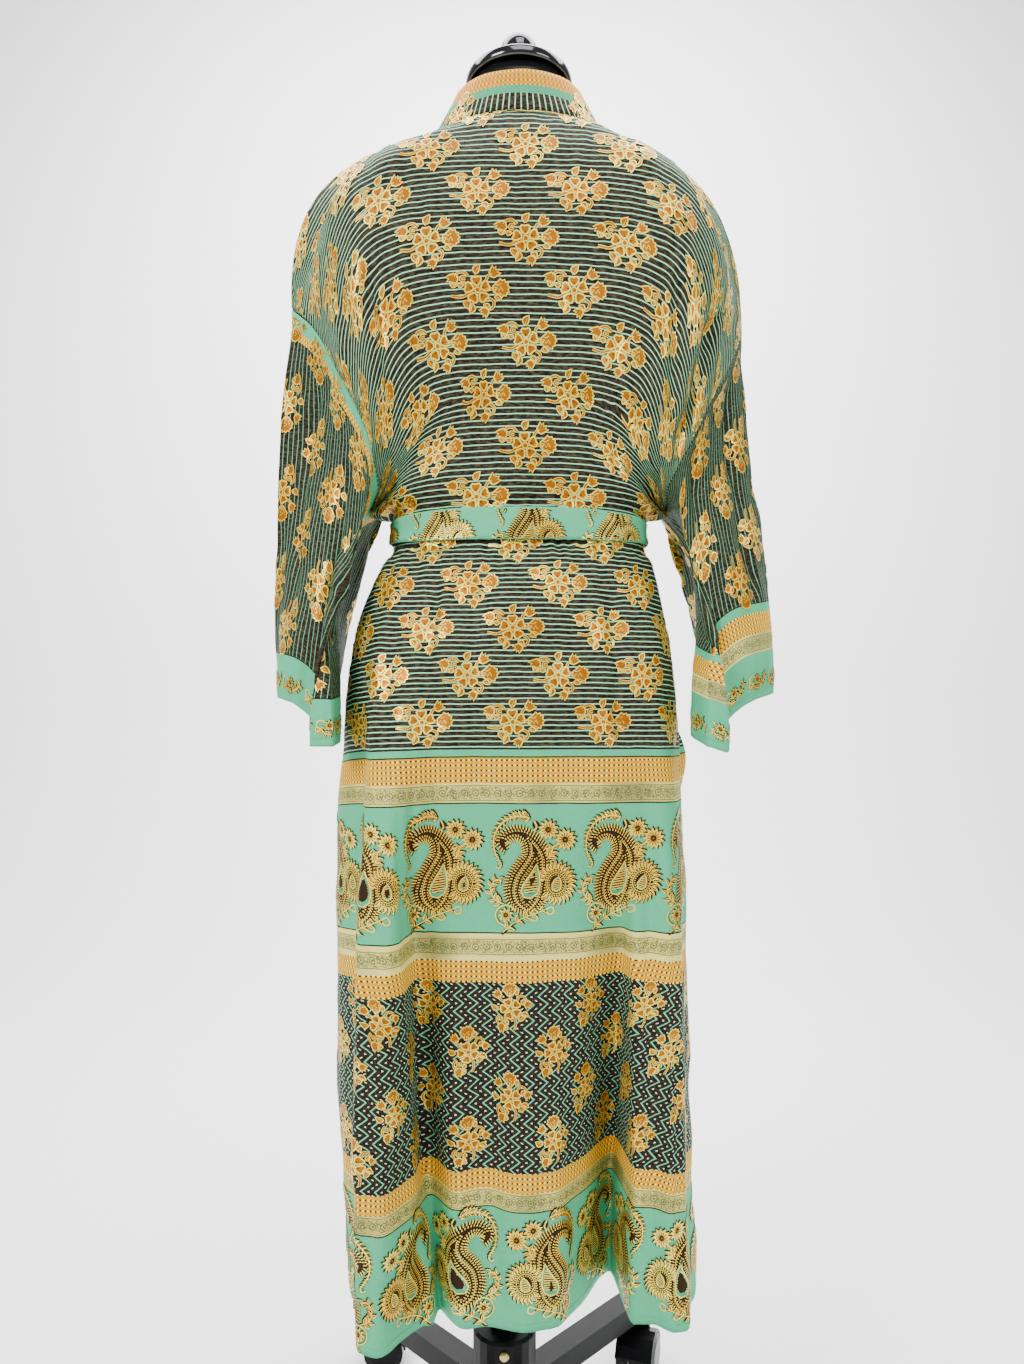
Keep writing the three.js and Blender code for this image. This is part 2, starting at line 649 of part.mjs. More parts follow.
// Wall directions along an armhole, halfway between the sleeve's own and the body's own.
const seamStore = new Map();
function sharedSeam(side) {
  if (seamStore.has(side)) return seamStore.get(side);
  const sleeve = gridNormals(sleeveGrid(side), true)[0];
  const back = gridNormals(backGrid());
  const front = gridNormals(frontGrid(side));
  const shared = [];
  for (let k = 0; k < 2 * SEAM_LAST; k += 1) {
    const i = Math.abs(k - SEAM_LAST);
    const sum = sleeve[sleeveColumn(side, 2 * k)].clone();
    if (k <= SEAM_LAST) sum.add(back[i][side < 0 ? 0 : BACK_COLUMNS]);
    if (k >= SEAM_LAST || k === 0) sum.add(front[i][side > 0 ? 0 : FRONT_COLUMNS]);
    if (i === 0 || k === 0) sum.setY(0);
    shared.push(sum.normalize());
  }
  seamStore.set(side, shared);
  return shared;
}

function sleeve(side) {
  const grid = sleeveGrid(side);
  const normals = gridNormals(grid, true);
  const shared = sharedSeam(side);
  for (let k = 0; k < shared.length; k += 1) {
    const next = shared[(k + 1) % shared.length];
    normals[0][sleeveColumn(side, 2 * k)].copy(shared[k]);
    normals[0][sleeveColumn(side, 2 * k + 1)].copy(shared[k]).lerp(next, 0.5);
  }
  const name = side > 0 ? "right_sleeve" : "left_sleeve";
  return solidMesh(name, wall(grid, WALL, true, normals), PAINT.cloth);
}

// Belt: the ring of the waist rows, moved out by the wall and the gap.
function beltRing(part) {
  const line = [];
  for (let j = 0; j < BELT_AROUND; j += 1) {
    const turn = j / BELT_AROUND;
    const face = turn < 0.5 ? -1 : 1;
    const along = turn < 0.5 ? 2 * turn : 2 - 2 * turn;
    const sideways = Math.abs(2 * along - 1) ** 3;
    const middle = (BELT_LOW + BELT_HIGH) / 2;
    const half = ((BELT_HIGH - BELT_LOW) / 2) * (1 - BELT_SIDE_PINCH * sideways);
    const row = bodyRow(middle + half * part, face);
    const length = along * row.length;
    line.push(row.at(length).addScaledVector(rowNormal(row, length, face), BELT_OFF));
  }
  return line;
}

function belt() {
  const grid = [];
  for (let i = 0; i <= BELT_ROWS; i += 1) grid.push(beltRing(1 - (2 * i) / BELT_ROWS));
  return solidMesh("belt", wall(grid, WALL, true), PAINT.trim);
}

function beltKnot() {
  const depth = bodyRow(KNOT.z, 1).at(bodyRow(KNOT.z, 1).lengthAtX(KNOT.x)).y;
  const geometry = new THREE.SphereGeometry(1, 14, 8);
  geometry.rotateX(Math.PI / 2);
  geometry.scale(KNOT.halfWidth, KNOT.halfDepth, KNOT.halfHeight);
  geometry.translate(KNOT.x, depth + BELT_OFF + SEAM_GAP + KNOT.halfDepth, KNOT.z);
  return solidMesh("belt_knot", facetted(geometry), PAINT.trim);
}

// A hanging belt end: a strip of the right front, moved out, from under the knot downwards.
function beltTail(name, topX, lowX, topZ, lowZ, off) {
  const width = BELT_HIGH - BELT_LOW;
  const rows = 11;
  const grid = [];
  for (let i = 0; i <= rows; i += 1) {
    const t = i / rows;
    const level = mix(topZ, lowZ, t);
    const row = bodyRow(level, 1);
    const middle = row.lengthAtX(mix(topX, lowX, t));
    const half = (width / 2) * mix(0.55, 1, ease(t * 3));
    const line = [1, 0.33, -0.33, -1].map((k) => {
      const length = middle + k * half;
      const out = TAIL_TURN + off + mix(TAIL_LIFT, 0, ease(t * 4));
      return row.at(length).addScaledVector(rowNormal(row, length, 1), out);
    });
    grid.push(line);
  }
  return solidMesh(name, wall(grid, TAIL_TURN), PAINT.trim);
}

// Joining and cutting of closed solids.
function toManifold(geometry) {
  const flat = geometry.index ? geometry.toNonIndexed() : geometry;
  const position = flat.attributes.position;
  const seen = new Map();
  const vertices = [];
  const triangles = [];
  for (let i = 0; i < position.count; i += 1) {
    const point = [position.getX(i), position.getY(i), position.getZ(i)];
    const name = point.map((value) => Math.round(value * 1e4)).join(",");
    if (!seen.has(name)) {
      seen.set(name, vertices.length / 3);
      vertices.push(...point);
    }
    triangles.push(seen.get(name));
  }
  const kept = [];
  for (let i = 0; i < triangles.length; i += 3) {
    const [a, b, c] = triangles.slice(i, i + 3);
    if (a !== b && b !== c && c !== a) kept.push(a, b, c);
  }
  return new wasm.Manifold(
    new wasm.Mesh({
      numProp: 3,
      vertProperties: new Float32Array(vertices),
      triVerts: new Uint32Array(kept),
    })
  );
}

function fromManifold(solid) {
  const mesh = solid.getMesh();
  const positions = [];
  for (let i = 0; i < mesh.vertProperties.length; i += mesh.numProp) {
    positions.push(...mesh.vertProperties.slice(i, i + 3));
  }
  const geometry = new THREE.BufferGeometry();
  geometry.setAttribute("position", new THREE.Float32BufferAttribute(positions, 3));
  geometry.setIndex([...mesh.triVerts]);
  return facetted(geometry);
}

function cylinder(radius, low, high, segments, x = 0, y = 0) {
  const geometry = new THREE.CylinderGeometry(radius, radius, high - low, segments);
  geometry.rotateX(Math.PI / 2);
  geometry.translate(x, y, (low + high) / 2);
  return geometry;
}

function lathe(profile, segments) {
  const points = profile.map(([radius, z]) => new THREE.Vector2(radius, z));
  const geometry = new THREE.LatheGeometry(points, segments);
  geometry.rotateX(Math.PI / 2);
  return geometry;
}

// Dress form: oval sections from the cut hips to the cut neck, with a socket for the pole.
function torsoForm() {
  const rings = TORSO.map((row, i) => {
    const ring = [];
    for (let j = 0; j < TORSO_AROUND; j += 1) {
      const turn = (2 * Math.PI * j) / TORSO_AROUND;
      const power = (value) => Math.sign(value) * Math.abs(value) ** (2 / TORSO_ROUND);
      const y = power(Math.sin(turn)) * (Math.sin(turn) < 0 ? row.back : row.front);
      const tilt = i === TORSO.length - 1 ? Math.tan(NECK_TILT) : 0;
      ring.push(new THREE.Vector3(power(Math.cos(turn)) * row.half, y, row.z - tilt * y));
    }
    return ring;
  });
  const positions = [];
  const tri = (a, b, c) => positions.push(...a.toArray(), ...b.toArray(), ...c.toArray());
  const mean = (ring) =>
    ring.reduce((sum, point) => sum.add(point), new THREE.Vector3()).divideScalar(ring.length);
  const low = mean(rings[0]);
  const high = mean(rings[rings.length - 1]);
  for (let j = 0; j < TORSO_AROUND; j += 1) {
    const next = (j + 1) % TORSO_AROUND;
    for (let i = 0; i < rings.length - 1; i += 1) {
      tri(rings[i][j], rings[i][next], rings[i + 1][next]);
      tri(rings[i][j], rings[i + 1][next], rings[i + 1][j]);
    }
    tri(low, rings[0][next], rings[0][j]);
    tri(high, rings[rings.length - 1][j], rings[rings.length - 1][next]);
  }
  const geometry = new THREE.BufferGeometry();
  geometry.setAttribute("position", new THREE.Float32BufferAttribute(positions, 3));
  const socket = cylinder(POLE_RADIUS + SEAM_GAP, TORSO[0].z - 10, POLE_TOP + SEAM_GAP, 24, STAND_X);
  const bored = toManifold(geometry).subtract(toManifold(socket));
  return solidMesh("torso_form", fromManifold(bored), PAINT.black);
}

function tilted(geometry) {
  geometry.rotateX(-NECK_TILT);
  geometry.translate(0, 0, PLATE.z);
  return facetted(geometry);
}

function neckPlate() {
  const { radius, height, round } = PLATE;
  const profile = [
    [0, 0],
    [radius - round, 0],
    [radius - round * 0.3, round * 0.3],
    [radius, round],
    [radius, height - round],
    [radius - round * 0.3, height - round * 0.3],
    [radius - round, height],
    [0, height],
  ];
  return solidMesh("neck_plate", tilted(lathe(profile, 28)), PAINT.chrome);
}

function neckBall() {
  const low = PLATE.height + SEAM_GAP;
  const profile = [[0, low], [BALL.stem + 4, low], [BALL.stem + 3, low + 3], [BALL.stem, low + 5]];
  const steps = 7;
  const first = Math.asin(BALL.stem / BALL.radius);
  for (let i = 0; i <= steps; i += 1) {
    const turn = mix(Math.PI - first, 0, i / steps);
    const radius = i === steps ? 0 : BALL.radius * Math.sin(turn);
    profile.push([radius, BALL.centre + BALL.radius * Math.cos(turn)]);
  }
  return solidMesh("neck_ball", tilted(lathe(profile, 16)), PAINT.chrome);
}

function pole() {
  const geometry = cylinder(POLE_RADIUS, POLE_LOW, POLE_TOP, 24, STAND_X);
  return solidMesh("pole", facetted(geometry), PAINT.chrome);
}

function hub() {
  const { radius, low, high, floor, chamfer } = HUB;
  const bore = POLE_RADIUS + SEAM_GAP;
  const profile = [
    [0, low],
    [radius - chamfer, low],
    [radius, low + chamfer],
    [radius, high - chamfer],
    [radius - chamfer, high],
    [bore, high],
    [bore, low + floor],
    [0, low + floor],
  ];
  const geometry = lathe(profile, 22);
  geometry.translate(STAND_X, 0, 0);
  return solidMesh("hub", facetted(geometry), PAINT.steel);
}

function hubCollar() {
  const bore = POLE_RADIUS + SEAM_GAP;
  const low = HUB.high + SEAM_GAP;
  const profile = [
    [bore, low],
    [COLLAR.radius, low],
    [COLLAR.radius, low + COLLAR.height * 0.6],
    [COLLAR.radius - 1.5, low + COLLAR.height],
    [bore, low + COLLAR.height],
    [bore, low],
  ];
  const geometry = lathe(profile, 22);
  geometry.translate(STAND_X, 0, 0);
  return solidMesh("hub_collar", facetted(geometry), PAINT.chrome);
}

function clampScrew() {
  const profile = [[0, 0], [SCREW.radius, 0], [SCREW.radius, SCREW.head * 0.6],
    [SCREW.radius * 0.7, SCREW.head], [0, SCREW.head]];
  const geometry = lathe(profile, 16);
  geometry.rotateX(Math.PI / 2);
  geometry.translate(STAND_X, -HUB.radius - SEAM_GAP, SCREW.z);
  return solidMesh("clamp_screw", facetted(geometry), PAINT.brass);
}

function placeAt(geometry, castor) {
  const turn = THREE.MathUtils.degToRad(castor.leg);
  geometry.rotateZ(THREE.MathUtils.degToRad(castor.yaw));
  geometry.translate(STAND_X + CASTOR_REACH * Math.cos(turn), CASTOR_REACH * Math.sin(turn), 0);
  return facetted(geometry);
}

// A leg: a rectangular bar from the hub to past the castor, bored for the castor's stem.
function leg(castor) {
  const start = HUB.radius + SEAM_GAP;
  const bar = new THREE.BoxGeometry(LEG.reach - start, LEG.width, LEG.height);
  bar.translate((LEG.reach + start) / 2, 0, LEG.low + LEG.height / 2);
  const bore = cylinder(STEM.radius + SEAM_GAP, LEG.low - 5, LEG.low + LEG.height * 0.7, 16, CASTOR_REACH);
  const geometry = fromManifold(toManifold(bar).subtract(toManifold(bore)));
  geometry.rotateZ(THREE.MathUtils.degToRad(castor.leg));
  geometry.translate(STAND_X, 0, 0);
  return solidMesh(`leg_${castor.name}`, facetted(geometry), PAINT.steel);
}

// Castor housing: a hood over the twin wheels, the web between them and the stem on top.
function castorHousing(castor) {
  const inside = WHEEL.radius + HOOD.clear;
  const outside = inside + HOOD.wall;
  const along = (geometry) => {
    geometry.rotateZ(Math.PI / 2);
    geometry.translate(0, -WHEEL.trail, WHEEL.radius);
    return toManifold(geometry);
  };
  const shell = along(cylinderAcross(outside, HOOD.width)).subtract(
    along(cylinderAcross(inside, HOOD.width + 10))
  );
  const cut = new THREE.BoxGeometry(200, 200, 100);
  cut.translate(0, 0, WHEEL.radius + 4 - 50);
  const hood = shell.subtract(toManifold(cut));
  const web = along(cylinderAcross(inside + 0.5, HOOD.web));
  const webCut = new THREE.BoxGeometry(200, 200, 100);
  webCut.translate(0, 0, WHEEL.radius - 8 - 50);
  const hole = along(cylinderAcross(WHEEL.axle + 3 * SEAM_GAP, HOOD.web + 10));
  const stem = toManifold(cylinder(STEM.radius, WHEEL.radius + 14, STEM.top + 12, 16));
  const pad = toManifold(cylinder(STEM.radius + 6, WHEEL.radius + 14, LEG.low - SEAM_GAP, 16));
  const room = along(cylinderAcross(inside - 0.2, HOOD.width));
  const mast = stem.add(pad).subtract(room);
  const body = hood.add(web.subtract(toManifold(webCut))).subtract(hole).add(mast);
  return solidMesh(`castor_${castor.name}`, placeAt(fromManifold(body), castor), PAINT.black);
}

function cylinderAcross(radius, width) {
  return new THREE.CylinderGeometry(radius, radius, width, 14);
}

// Twin wheels on their axle, in one turned piece.
function castorWheels(castor) {
  const half = WHEEL.span / 2;
  const inner = half - WHEEL.width;
  const edge = 2;
  const profile = [
    [0, -half],
    [WHEEL.radius - 7, -half],
    [WHEEL.radius, -half + edge],
    [WHEEL.radius, -inner],
    [WHEEL.axle, -inner],
    [WHEEL.axle, inner],
    [WHEEL.radius, inner],
    [WHEEL.radius, half - edge],
    [WHEEL.radius - 7, half],
    [0, half],
  ];
  const geometry = new THREE.LatheGeometry(
    profile.map(([radius, x]) => new THREE.Vector2(radius, x)), 16);
  geometry.rotateZ(-Math.PI / 2);
  geometry.translate(0, -WHEEL.trail, WHEEL.radius);
  return solidMesh(`wheels_${castor.name}`, placeAt(geometry, castor), PAINT.wheel);
}

const robe = new THREE.Group();
robe.name = "kimono_robe";
robe.add(backPanel(), frontPanel(-1), frontPanel(1), sleeve(-1), sleeve(1), neckband());
robe.add(belt(), beltKnot());
robe.add(beltTail("belt_tail_left", -6, -34, 1013, 640, TAIL_OFF));
robe.add(beltTail("belt_tail_right", 19, 30, 1013, 690, TAIL_OFF));
robe.add(torsoForm(), neckPlate(), neckBall(), pole(), hub(), hubCollar(), clampScrew());
for (const castor of CASTORS) robe.add(leg(castor), castorHousing(castor), castorWheels(castor));

export default robe;
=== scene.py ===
import math

import bpy
import numpy as np
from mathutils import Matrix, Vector


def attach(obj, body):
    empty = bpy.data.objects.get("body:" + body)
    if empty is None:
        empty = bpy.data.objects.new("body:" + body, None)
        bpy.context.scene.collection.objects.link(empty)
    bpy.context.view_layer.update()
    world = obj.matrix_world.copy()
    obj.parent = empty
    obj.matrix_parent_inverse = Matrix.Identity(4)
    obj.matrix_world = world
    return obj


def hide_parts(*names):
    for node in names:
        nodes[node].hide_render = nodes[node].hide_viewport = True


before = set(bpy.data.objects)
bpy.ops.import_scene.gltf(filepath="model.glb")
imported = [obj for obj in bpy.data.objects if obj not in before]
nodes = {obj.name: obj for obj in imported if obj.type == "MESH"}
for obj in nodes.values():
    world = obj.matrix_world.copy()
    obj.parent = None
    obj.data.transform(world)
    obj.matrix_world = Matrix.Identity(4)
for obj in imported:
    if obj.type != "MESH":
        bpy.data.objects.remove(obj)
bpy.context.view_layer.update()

# Driving sizes, millimetres.
mm = 0.001
tiny = 1e-9
robe = {
    "shoulder": 1480.0, "underarm": 1160.0, "hem": 222.0, "neckHalf": 94.0, "neckBack": 70.0,
    "lap": 6.5, "seam": 0.3, "thickness": 1.3,
}
belt = {"low": 1017.0, "high": 1050.0, "pinch": 0.3, "off": 3.1, "width": 33, "pitch": 93}


def table(names, *rows):
    return dict(zip(names.split(), np.array(sorted(rows), float).T))


armhole = table(
    "u xl yl zl xr yr zr",
    (0.0, 252, 0, 1284, 247, 0, 1254),
    (0.18, 221, 36, 1250, 226, 34, 1208),
    (0.4, 189, 66, 1192, 199, 62, 1160),
    (0.58, 165, 80, 1146, 178, 76, 1118),
    (0.73, 153, 80, 1112, 164, 73, 1092),
    (0.88, 149, 52, 1080, 156, 48, 1072),
    (1.0, 164, 0, 1060, 163, 0, 1060),
)
yoke = table(
    "z back front kxl kxr kBack kFront kz reach",
    (1480, 0, 0, 260, 246, 0, 0, -49, 0.68),
    (1464, 70, 50, 212, 234, 26, 24, -55, 0.44),
    (1440, 83, 78, 218, 222, 60, 52, -23, 0.65),
    (1400, 97, 102, 212, 219, 93, 84, -1, 0.74),
    (1330, 106, 119, 187, 198, 110, 108, 0, 0.75),
    (1250, 103, 122, 151, 161, 116, 116, -34, 0.78),
    (1190, 96, 111, 118, 125, 99, 106, -72, 0.74),
    (1160, 91, 103, 112, 112, 88, 96, -78, 0.72),
)
skirt = table(
    "z left right back front fall rise square turn sink reach",
    (1160, 164, 163, 91, 103, 100, 100, 0.967, 0.683, 0.78, 0.72),
    (1120, 166, 165, 87, 95, 66, 66, 0.93, 0.75, 0.74, 0.72),
    (1080, 155, 156, 84, 88, 31, 31, 0.8, 0.92, 0.5, 0.66),
    (1054, 138, 138, 82, 82, 9, 9, 0.64, 1.02, 0.12, 0.58),
    (1034, 137, 137, 81, 80, 1, 1, 0.6, 1.03, 0.1, 0.58),
    (1014, 139, 139, 82, 81, 1, 1, 0.6, 1.03, 0.1, 0.58),
    (1002, 150, 146, 90, 88, 3, 2, 0.6, 1.03, 0.1, 0.58),
    (976, 163, 154, 100, 96, 6, 4, 0.6, 1.03, 0.1, 0.58),
    (948, 174, 160, 109, 102, 10, 5, 0.6, 1.03, 0.1, 0.58),
    (915, 182, 165, 117, 107, 14, 6, 0.62, 1.03, 0.1, 0.59),
    (870, 187, 170, 122, 110, 17, 7, 0.66, 1.03, 0.1, 0.6),
    (800, 193, 174, 124, 111, 19, 8, 0.72, 1.03, 0.1, 0.63),
    (728, 197, 177, 121, 111, 19, 8, 0.78, 1.03, 0.1, 0.65),
    (600, 197, 181, 117, 111, 16, 7, 0.86, 1.03, 0.1, 0.68),
    (460, 196, 184, 113, 112, 12, 5, 0.9, 1.03, 0.1, 0.7),
    (340, 190, 187, 110, 113, 6, 3, 0.92, 1.03, 0.1, 0.71),
    (robe["hem"], 185, 190, 107, 114, 0, 0, 0.92, 1.03, 0.1, 0.71),
)
# Folds of the skirt: top level, level of full depth, x of both edges at the top and at the hem,
# widths of both slopes, how far out.
backFolds = (
    (960, 560, -146, -158, -120, -140, 11, 46, 60),
    (800, 480, -124, -84, -124, -84, 5, 34, -30),
    (790, 222, 104, 100, 104, 100, 62, 15, -96),
    (900, 520, 152, 160, 156, 168, 34, 10, 32),
    (700, 300, -8, 2, -4, 6, 40, 46, 7),
)
frontFolds = (
    (960, 540, -138, -146, -116, -118, 14, 30, 34),
    (840, 380, -108, -104, -106, -102, 20, 20, -24),
    (760, 300, 14, 22, 22, 32, 34, 30, 12),
    (820, 340, 104, 106, 106, 108, 24, 24, -28),
    (940, 520, 128, 130, 144, 150, 30, 13, 28),
)
frontSwells = ((1, 790, 74, 34, 30, 20), (-1, 640, 150, 40, 34, 7))
frontSeam = table(
    "z x", (1480, 94), (1400, 82), (1300, 63), (1200, 38), (1100, 4), (1034, -24), (860, -36),
    (robe["hem"], -47),
)
leftCuff = table(
    "w x y z",
    (0.0, -185, -122, 806), (0.1, -208, -119, 806), (0.18, -213, -76, 826), (0.28, -238, -62, 848),
    (0.4, -262, -22, 854), (0.52, -267.5, 36, 856), (0.65, -252, 100, 852), (0.74, -226, 118, 846),
    (0.85, -212, 56, 832), (0.93, -203, -16, 820), (0.98, -183, -84, 808), (1.0, -185, -122, 806),
)
rightCuff = table(
    "w x y z",
    (0.0, 186, -122, 806), (0.08, 206, -120, 800), (0.16, 213, -80, 826), (0.27, 244, -64, 850),
    (0.4, 276, -26, 858), (0.52, 282.5, 30, 861), (0.65, 268, 94, 860), (0.74, 240, 116, 854),
    (0.85, 218, 56, 840), (0.93, 203, -14, 826), (0.98, 176, -84, 814), (1.0, 186, -122, 806),
)
torso = table(
    "z half back front",
    (722, 148, 96, 80), (730, 155, 103, 86), (800, 164, 112, 92), (870, 161, 113, 93),
    (930, 148, 99, 84), (980, 133, 84, 74), (1034, 124, 74, 67), (1090, 125, 75, 71),
    (1150, 136, 82, 85), (1220, 147, 91, 103), (1290, 160, 97, 105), (1340, 175, 93, 92),
    (1375, 185, 87, 87), (1400, 182.1, 90, 89.2), (1418, 159.4, 82, 79.8), (1434, 131, 70.5, 69.5),
    (1450, 97, 59, 59), (1468, 66, 51, 51), (1495, 55, 50, 50), (1520.6, 53, 50, 50),
)


# Rows of the body.
def ease(t):
    t = np.clip(t, 0, 1)
    return t * t * (3 - 2 * t)


def mix(a, b, t):
    return a + (b - a) * t


def read(source, values):
    # All columns of a table at the given values of its first one, by a monotone cubic.
    names = list(source)
    keys = source[names[0]]
    v = np.clip(np.asarray(values, float), keys[0], keys[-1])
    i = np.clip(np.searchsorted(keys, v, side="left") - 1, 0, len(keys) - 2)
    span = np.diff(keys)
    s = (v - keys[i]) / span[i]
    out = {names[0]: v}
    for name in names[1:]:
        column = source[name]
        slope = np.diff(column) / span
        both = slope[:-1] * slope[1:]
        total = np.where(slope[:-1] + slope[1:] == 0, 1, slope[:-1] + slope[1:])
        m = np.concatenate(([slope[0]], np.where(both > 0, 2 * both / total, 0), [slope[-1]]))
        out[name] = (
            column[i] * (1 + 2 * s) * (s - 1) ** 2
            + m[i] * span[i] * s * (s - 1) ** 2
            + column[i + 1] * s * s * (3 - 2 * s)
            + m[i + 1] * span[i] * s * s * (s - 1)
        )
    return out


def xyz(x, y, z):
    return np.stack(np.broadcast_arrays(x, y, z), -1).astype(float)


def bezier(a, b, c, d, t):
    r = 1 - t
    return r**3 * a + 3 * r * r * t * b + 3 * r * t * t * c + t**3 * d


def armholePoint(u, side, face):
    at = read(armhole, u)
    s = "l" if side < 0 else "r"
    return xyz(side * at["x" + s], face * at["y" + s], at["z" + s])


def halfRow(levels, side, face, printed=False):
    # Centre, level handle, turning point and edge of half a row at each level.
    y, k = read(yoke, levels), read(skirt, levels)
    s = "l" if side < 0 else "r"
    depthName, kDepth = ("back", "kBack") if face < 0 else ("front", "kFront")
    kx, kz, turn, sink, reach = y["kx" + s], y["kz"], k["turn"], k["sink"], y["reach"]
    down = (robe["shoulder"] - levels) / (robe["shoulder"] - robe["underarm"])
    edge = armholePoint(np.clip(down, 0, 1), side, face)
    if printed:
        low = ease((1440 - levels) / 80)
        kx = mix(kx, np.maximum(kx, side * edge[:, 0] + 6), low)
        kz, reach = mix(kz, np.maximum(kz, -8), low), mix(reach, 0.87, low)
        turn, sink = np.maximum(turn, 0.92), np.minimum(sink, 0.1)
    high = (levels > robe["underarm"])[:, None]
    depthHigh, depthLow = face * y[depthName], face * k[depthName]
    x = side * k["left" if side < 0 else "right"]
    fall = k["fall" if side < 0 else "rise"]
    upper = (
        xyz(0, depthHigh, levels),
        xyz(side * kx * reach, depthHigh, levels),
        xyz(side * kx, face * y[kDepth], levels + kz),
        edge,
    )
    lower = (
        xyz(0, depthLow, levels),
        xyz(x * turn * k["reach"], depthLow, levels),
        xyz(x * turn, depthLow * k["square"], levels - fall * sink),
        xyz(x, 0, levels - fall),
    )
    return [np.where(high, a, b) for a, b in zip(upper, lower)]


def foldOut(folds, level, x):
    out = 0
    for top, full, low0, low1, high0, high1, left, right, depth in folds:
        grown = ease((top - level) / (top - full))
        down = np.clip((top - level) / (top - robe["hem"]), 0, 1)
        low, high = mix(low0, low1, down), mix(high0, high1, down)
        out = out + depth * grown * ease((x - low + left) / left) * ease((high + right - x) / right)
    return out


def swellOut(level, x, y):
    out = 0
    for side, z, tall, middle, deep, far in frontSwells:
        out = out + (x * side > 0) * side * far * ease(1 - abs(level - z) / tall) * ease(
            1 - abs(y - middle) / deep
        )
    return out


def bodyRows(levels, face, printed=False, samples=110):
    # Points of whole rows from the left edge to the right, and the length run at each.
    t = np.linspace(0, 1, samples + 1)[None, :, None]
    halves = []
    for side in (-1, 1):
        a, b, c, d = [p[:, None, :] for p in halfRow(levels, side, face, printed)]
        halves.append(bezier(a, b, c, d, t))
    points = np.concatenate((halves[0][:, ::-1], halves[1][:, 1:]), 1)
    level = levels[:, None]
    lift = foldOut(backFolds if face < 0 else frontFolds, level, points[..., 0])
    lift = lift * ease(abs(points[..., 1]) / 30)
    if face > 0:
        points[..., 0] += swellOut(level, points[..., 0], points[..., 1])
    points[..., 1] += face * lift
    steps = np.linalg.norm(np.diff(points, axis=1), axis=2)
    run = np.concatenate((np.zeros((len(levels), 1)), np.cumsum(steps, 1)), 1)
    return points, run


def along(points, run, lengths):
    out = np.empty(lengths.shape + (3,))
    for i in range(len(points)):
        for c in range(3):
            out[i, :, c] = np.interp(lengths[i], run[i], points[i, :, c])
    return out


def lengthAtX(points, run, x):
    return np.array(
        [np.interp(x[i], np.maximum.accumulate(points[i, :, 0]), run[i]) for i in range(len(points))]
    )


def rowNormals(points, run, lengths, face):
    tangent = along(points, run, lengths + 3) - along(points, run, lengths - 3)
    normal = xyz(tangent[..., 1] * -face, tangent[..., 0] * face, 0)
    return normal / np.linalg.norm(normal, axis=-1, keepdims=True)


def levelSteps(count):
    # Levels from the shoulder to the hem, close together where the cloth turns forward.
    return np.concatenate(
        (np.linspace(robe["shoulder"], 1464, 15)[:-1], np.linspace(1464, 1400, 17)[:-1],
         np.linspace(1400, robe["hem"], count))
    )


fineLevels = np.concatenate(
    (np.linspace(robe["hem"], 1400, 380)[:-1], np.linspace(1400, robe["shoulder"], 81))
)


class ClothMap:
    # Cloth coordinates of a point on the body: found on the rows along which the print runs.
    steps = 120

    def __init__(self, face):
        points, run = bodyRows(fineLevels, face, printed=True)
        lengths = run[:, -1:] * np.linspace(0, 1, self.steps + 1)
        at = along(points, run, lengths)
        middle = lengthAtX(points, run, np.zeros(len(fineLevels)))
        self.x, self.z, self.u = at[..., 0], at[..., 2], lengths - middle[:, None]
        blade = lengthAtX(points, run, np.full(len(fineLevels), 130.0))
        beside = along(points, run, blade[:, None])[:, 0]
        step = np.hypot(np.diff(beside[:, 1]), np.diff(beside[:, 2]))
        rise = np.where(fineLevels[1:] > 1340, step, np.diff(fineLevels))
        self.v = fineLevels[0] + np.concatenate(([0], np.cumsum(rise)))

    def at(self, part, z):
        # u and v in millimetres for a row part (0 to 1) and a height.
        j = np.clip(part * self.steps, 0, self.steps - 0.001)
        j0 = j.astype(int)
        f = j - j0
        u, v = np.empty(part.shape), np.empty(part.shape)
        for index in np.unique(j0):
            here = j0 == index
            w = f[here]
            values = []
            for column in (index, index + 1):
                heights = np.maximum.accumulate(self.z[:, column])
                k = np.interp(z[here], heights, np.arange(len(heights)))
                values.append(
                    [np.interp(k, np.arange(len(heights)), c) for c in (self.u[:, column], self.v)]
                )
            u[here] = mix(values[0][0], values[1][0], w)
            v[here] = mix(values[0][1], values[1][1], w)
        return u, v


maps = {-1: ClothMap(-1), 1: ClothMap(1)}
print("rows ready")


# Noise, creases and normals.
lattice = 257


def smoothNoise(u, v, cell, seed):
    # Soft random values from -1 to 1 on a lattice of the given cell.
    grid = np.random.default_rng(seed).uniform(-1, 1, (lattice, lattice))
    a, b = u / cell + 1000.37, v / cell + 1000.71
    i, j = np.floor(a).astype(int), np.floor(b).astype(int)
    s, t = ease(a - i), ease(b - j)

    def value(x, y):
        return grid[x % lattice, y % lattice]

    return mix(mix(value(i, j), value(i + 1, j), s), mix(value(i, j + 1), value(i + 1, j + 1), s), t)


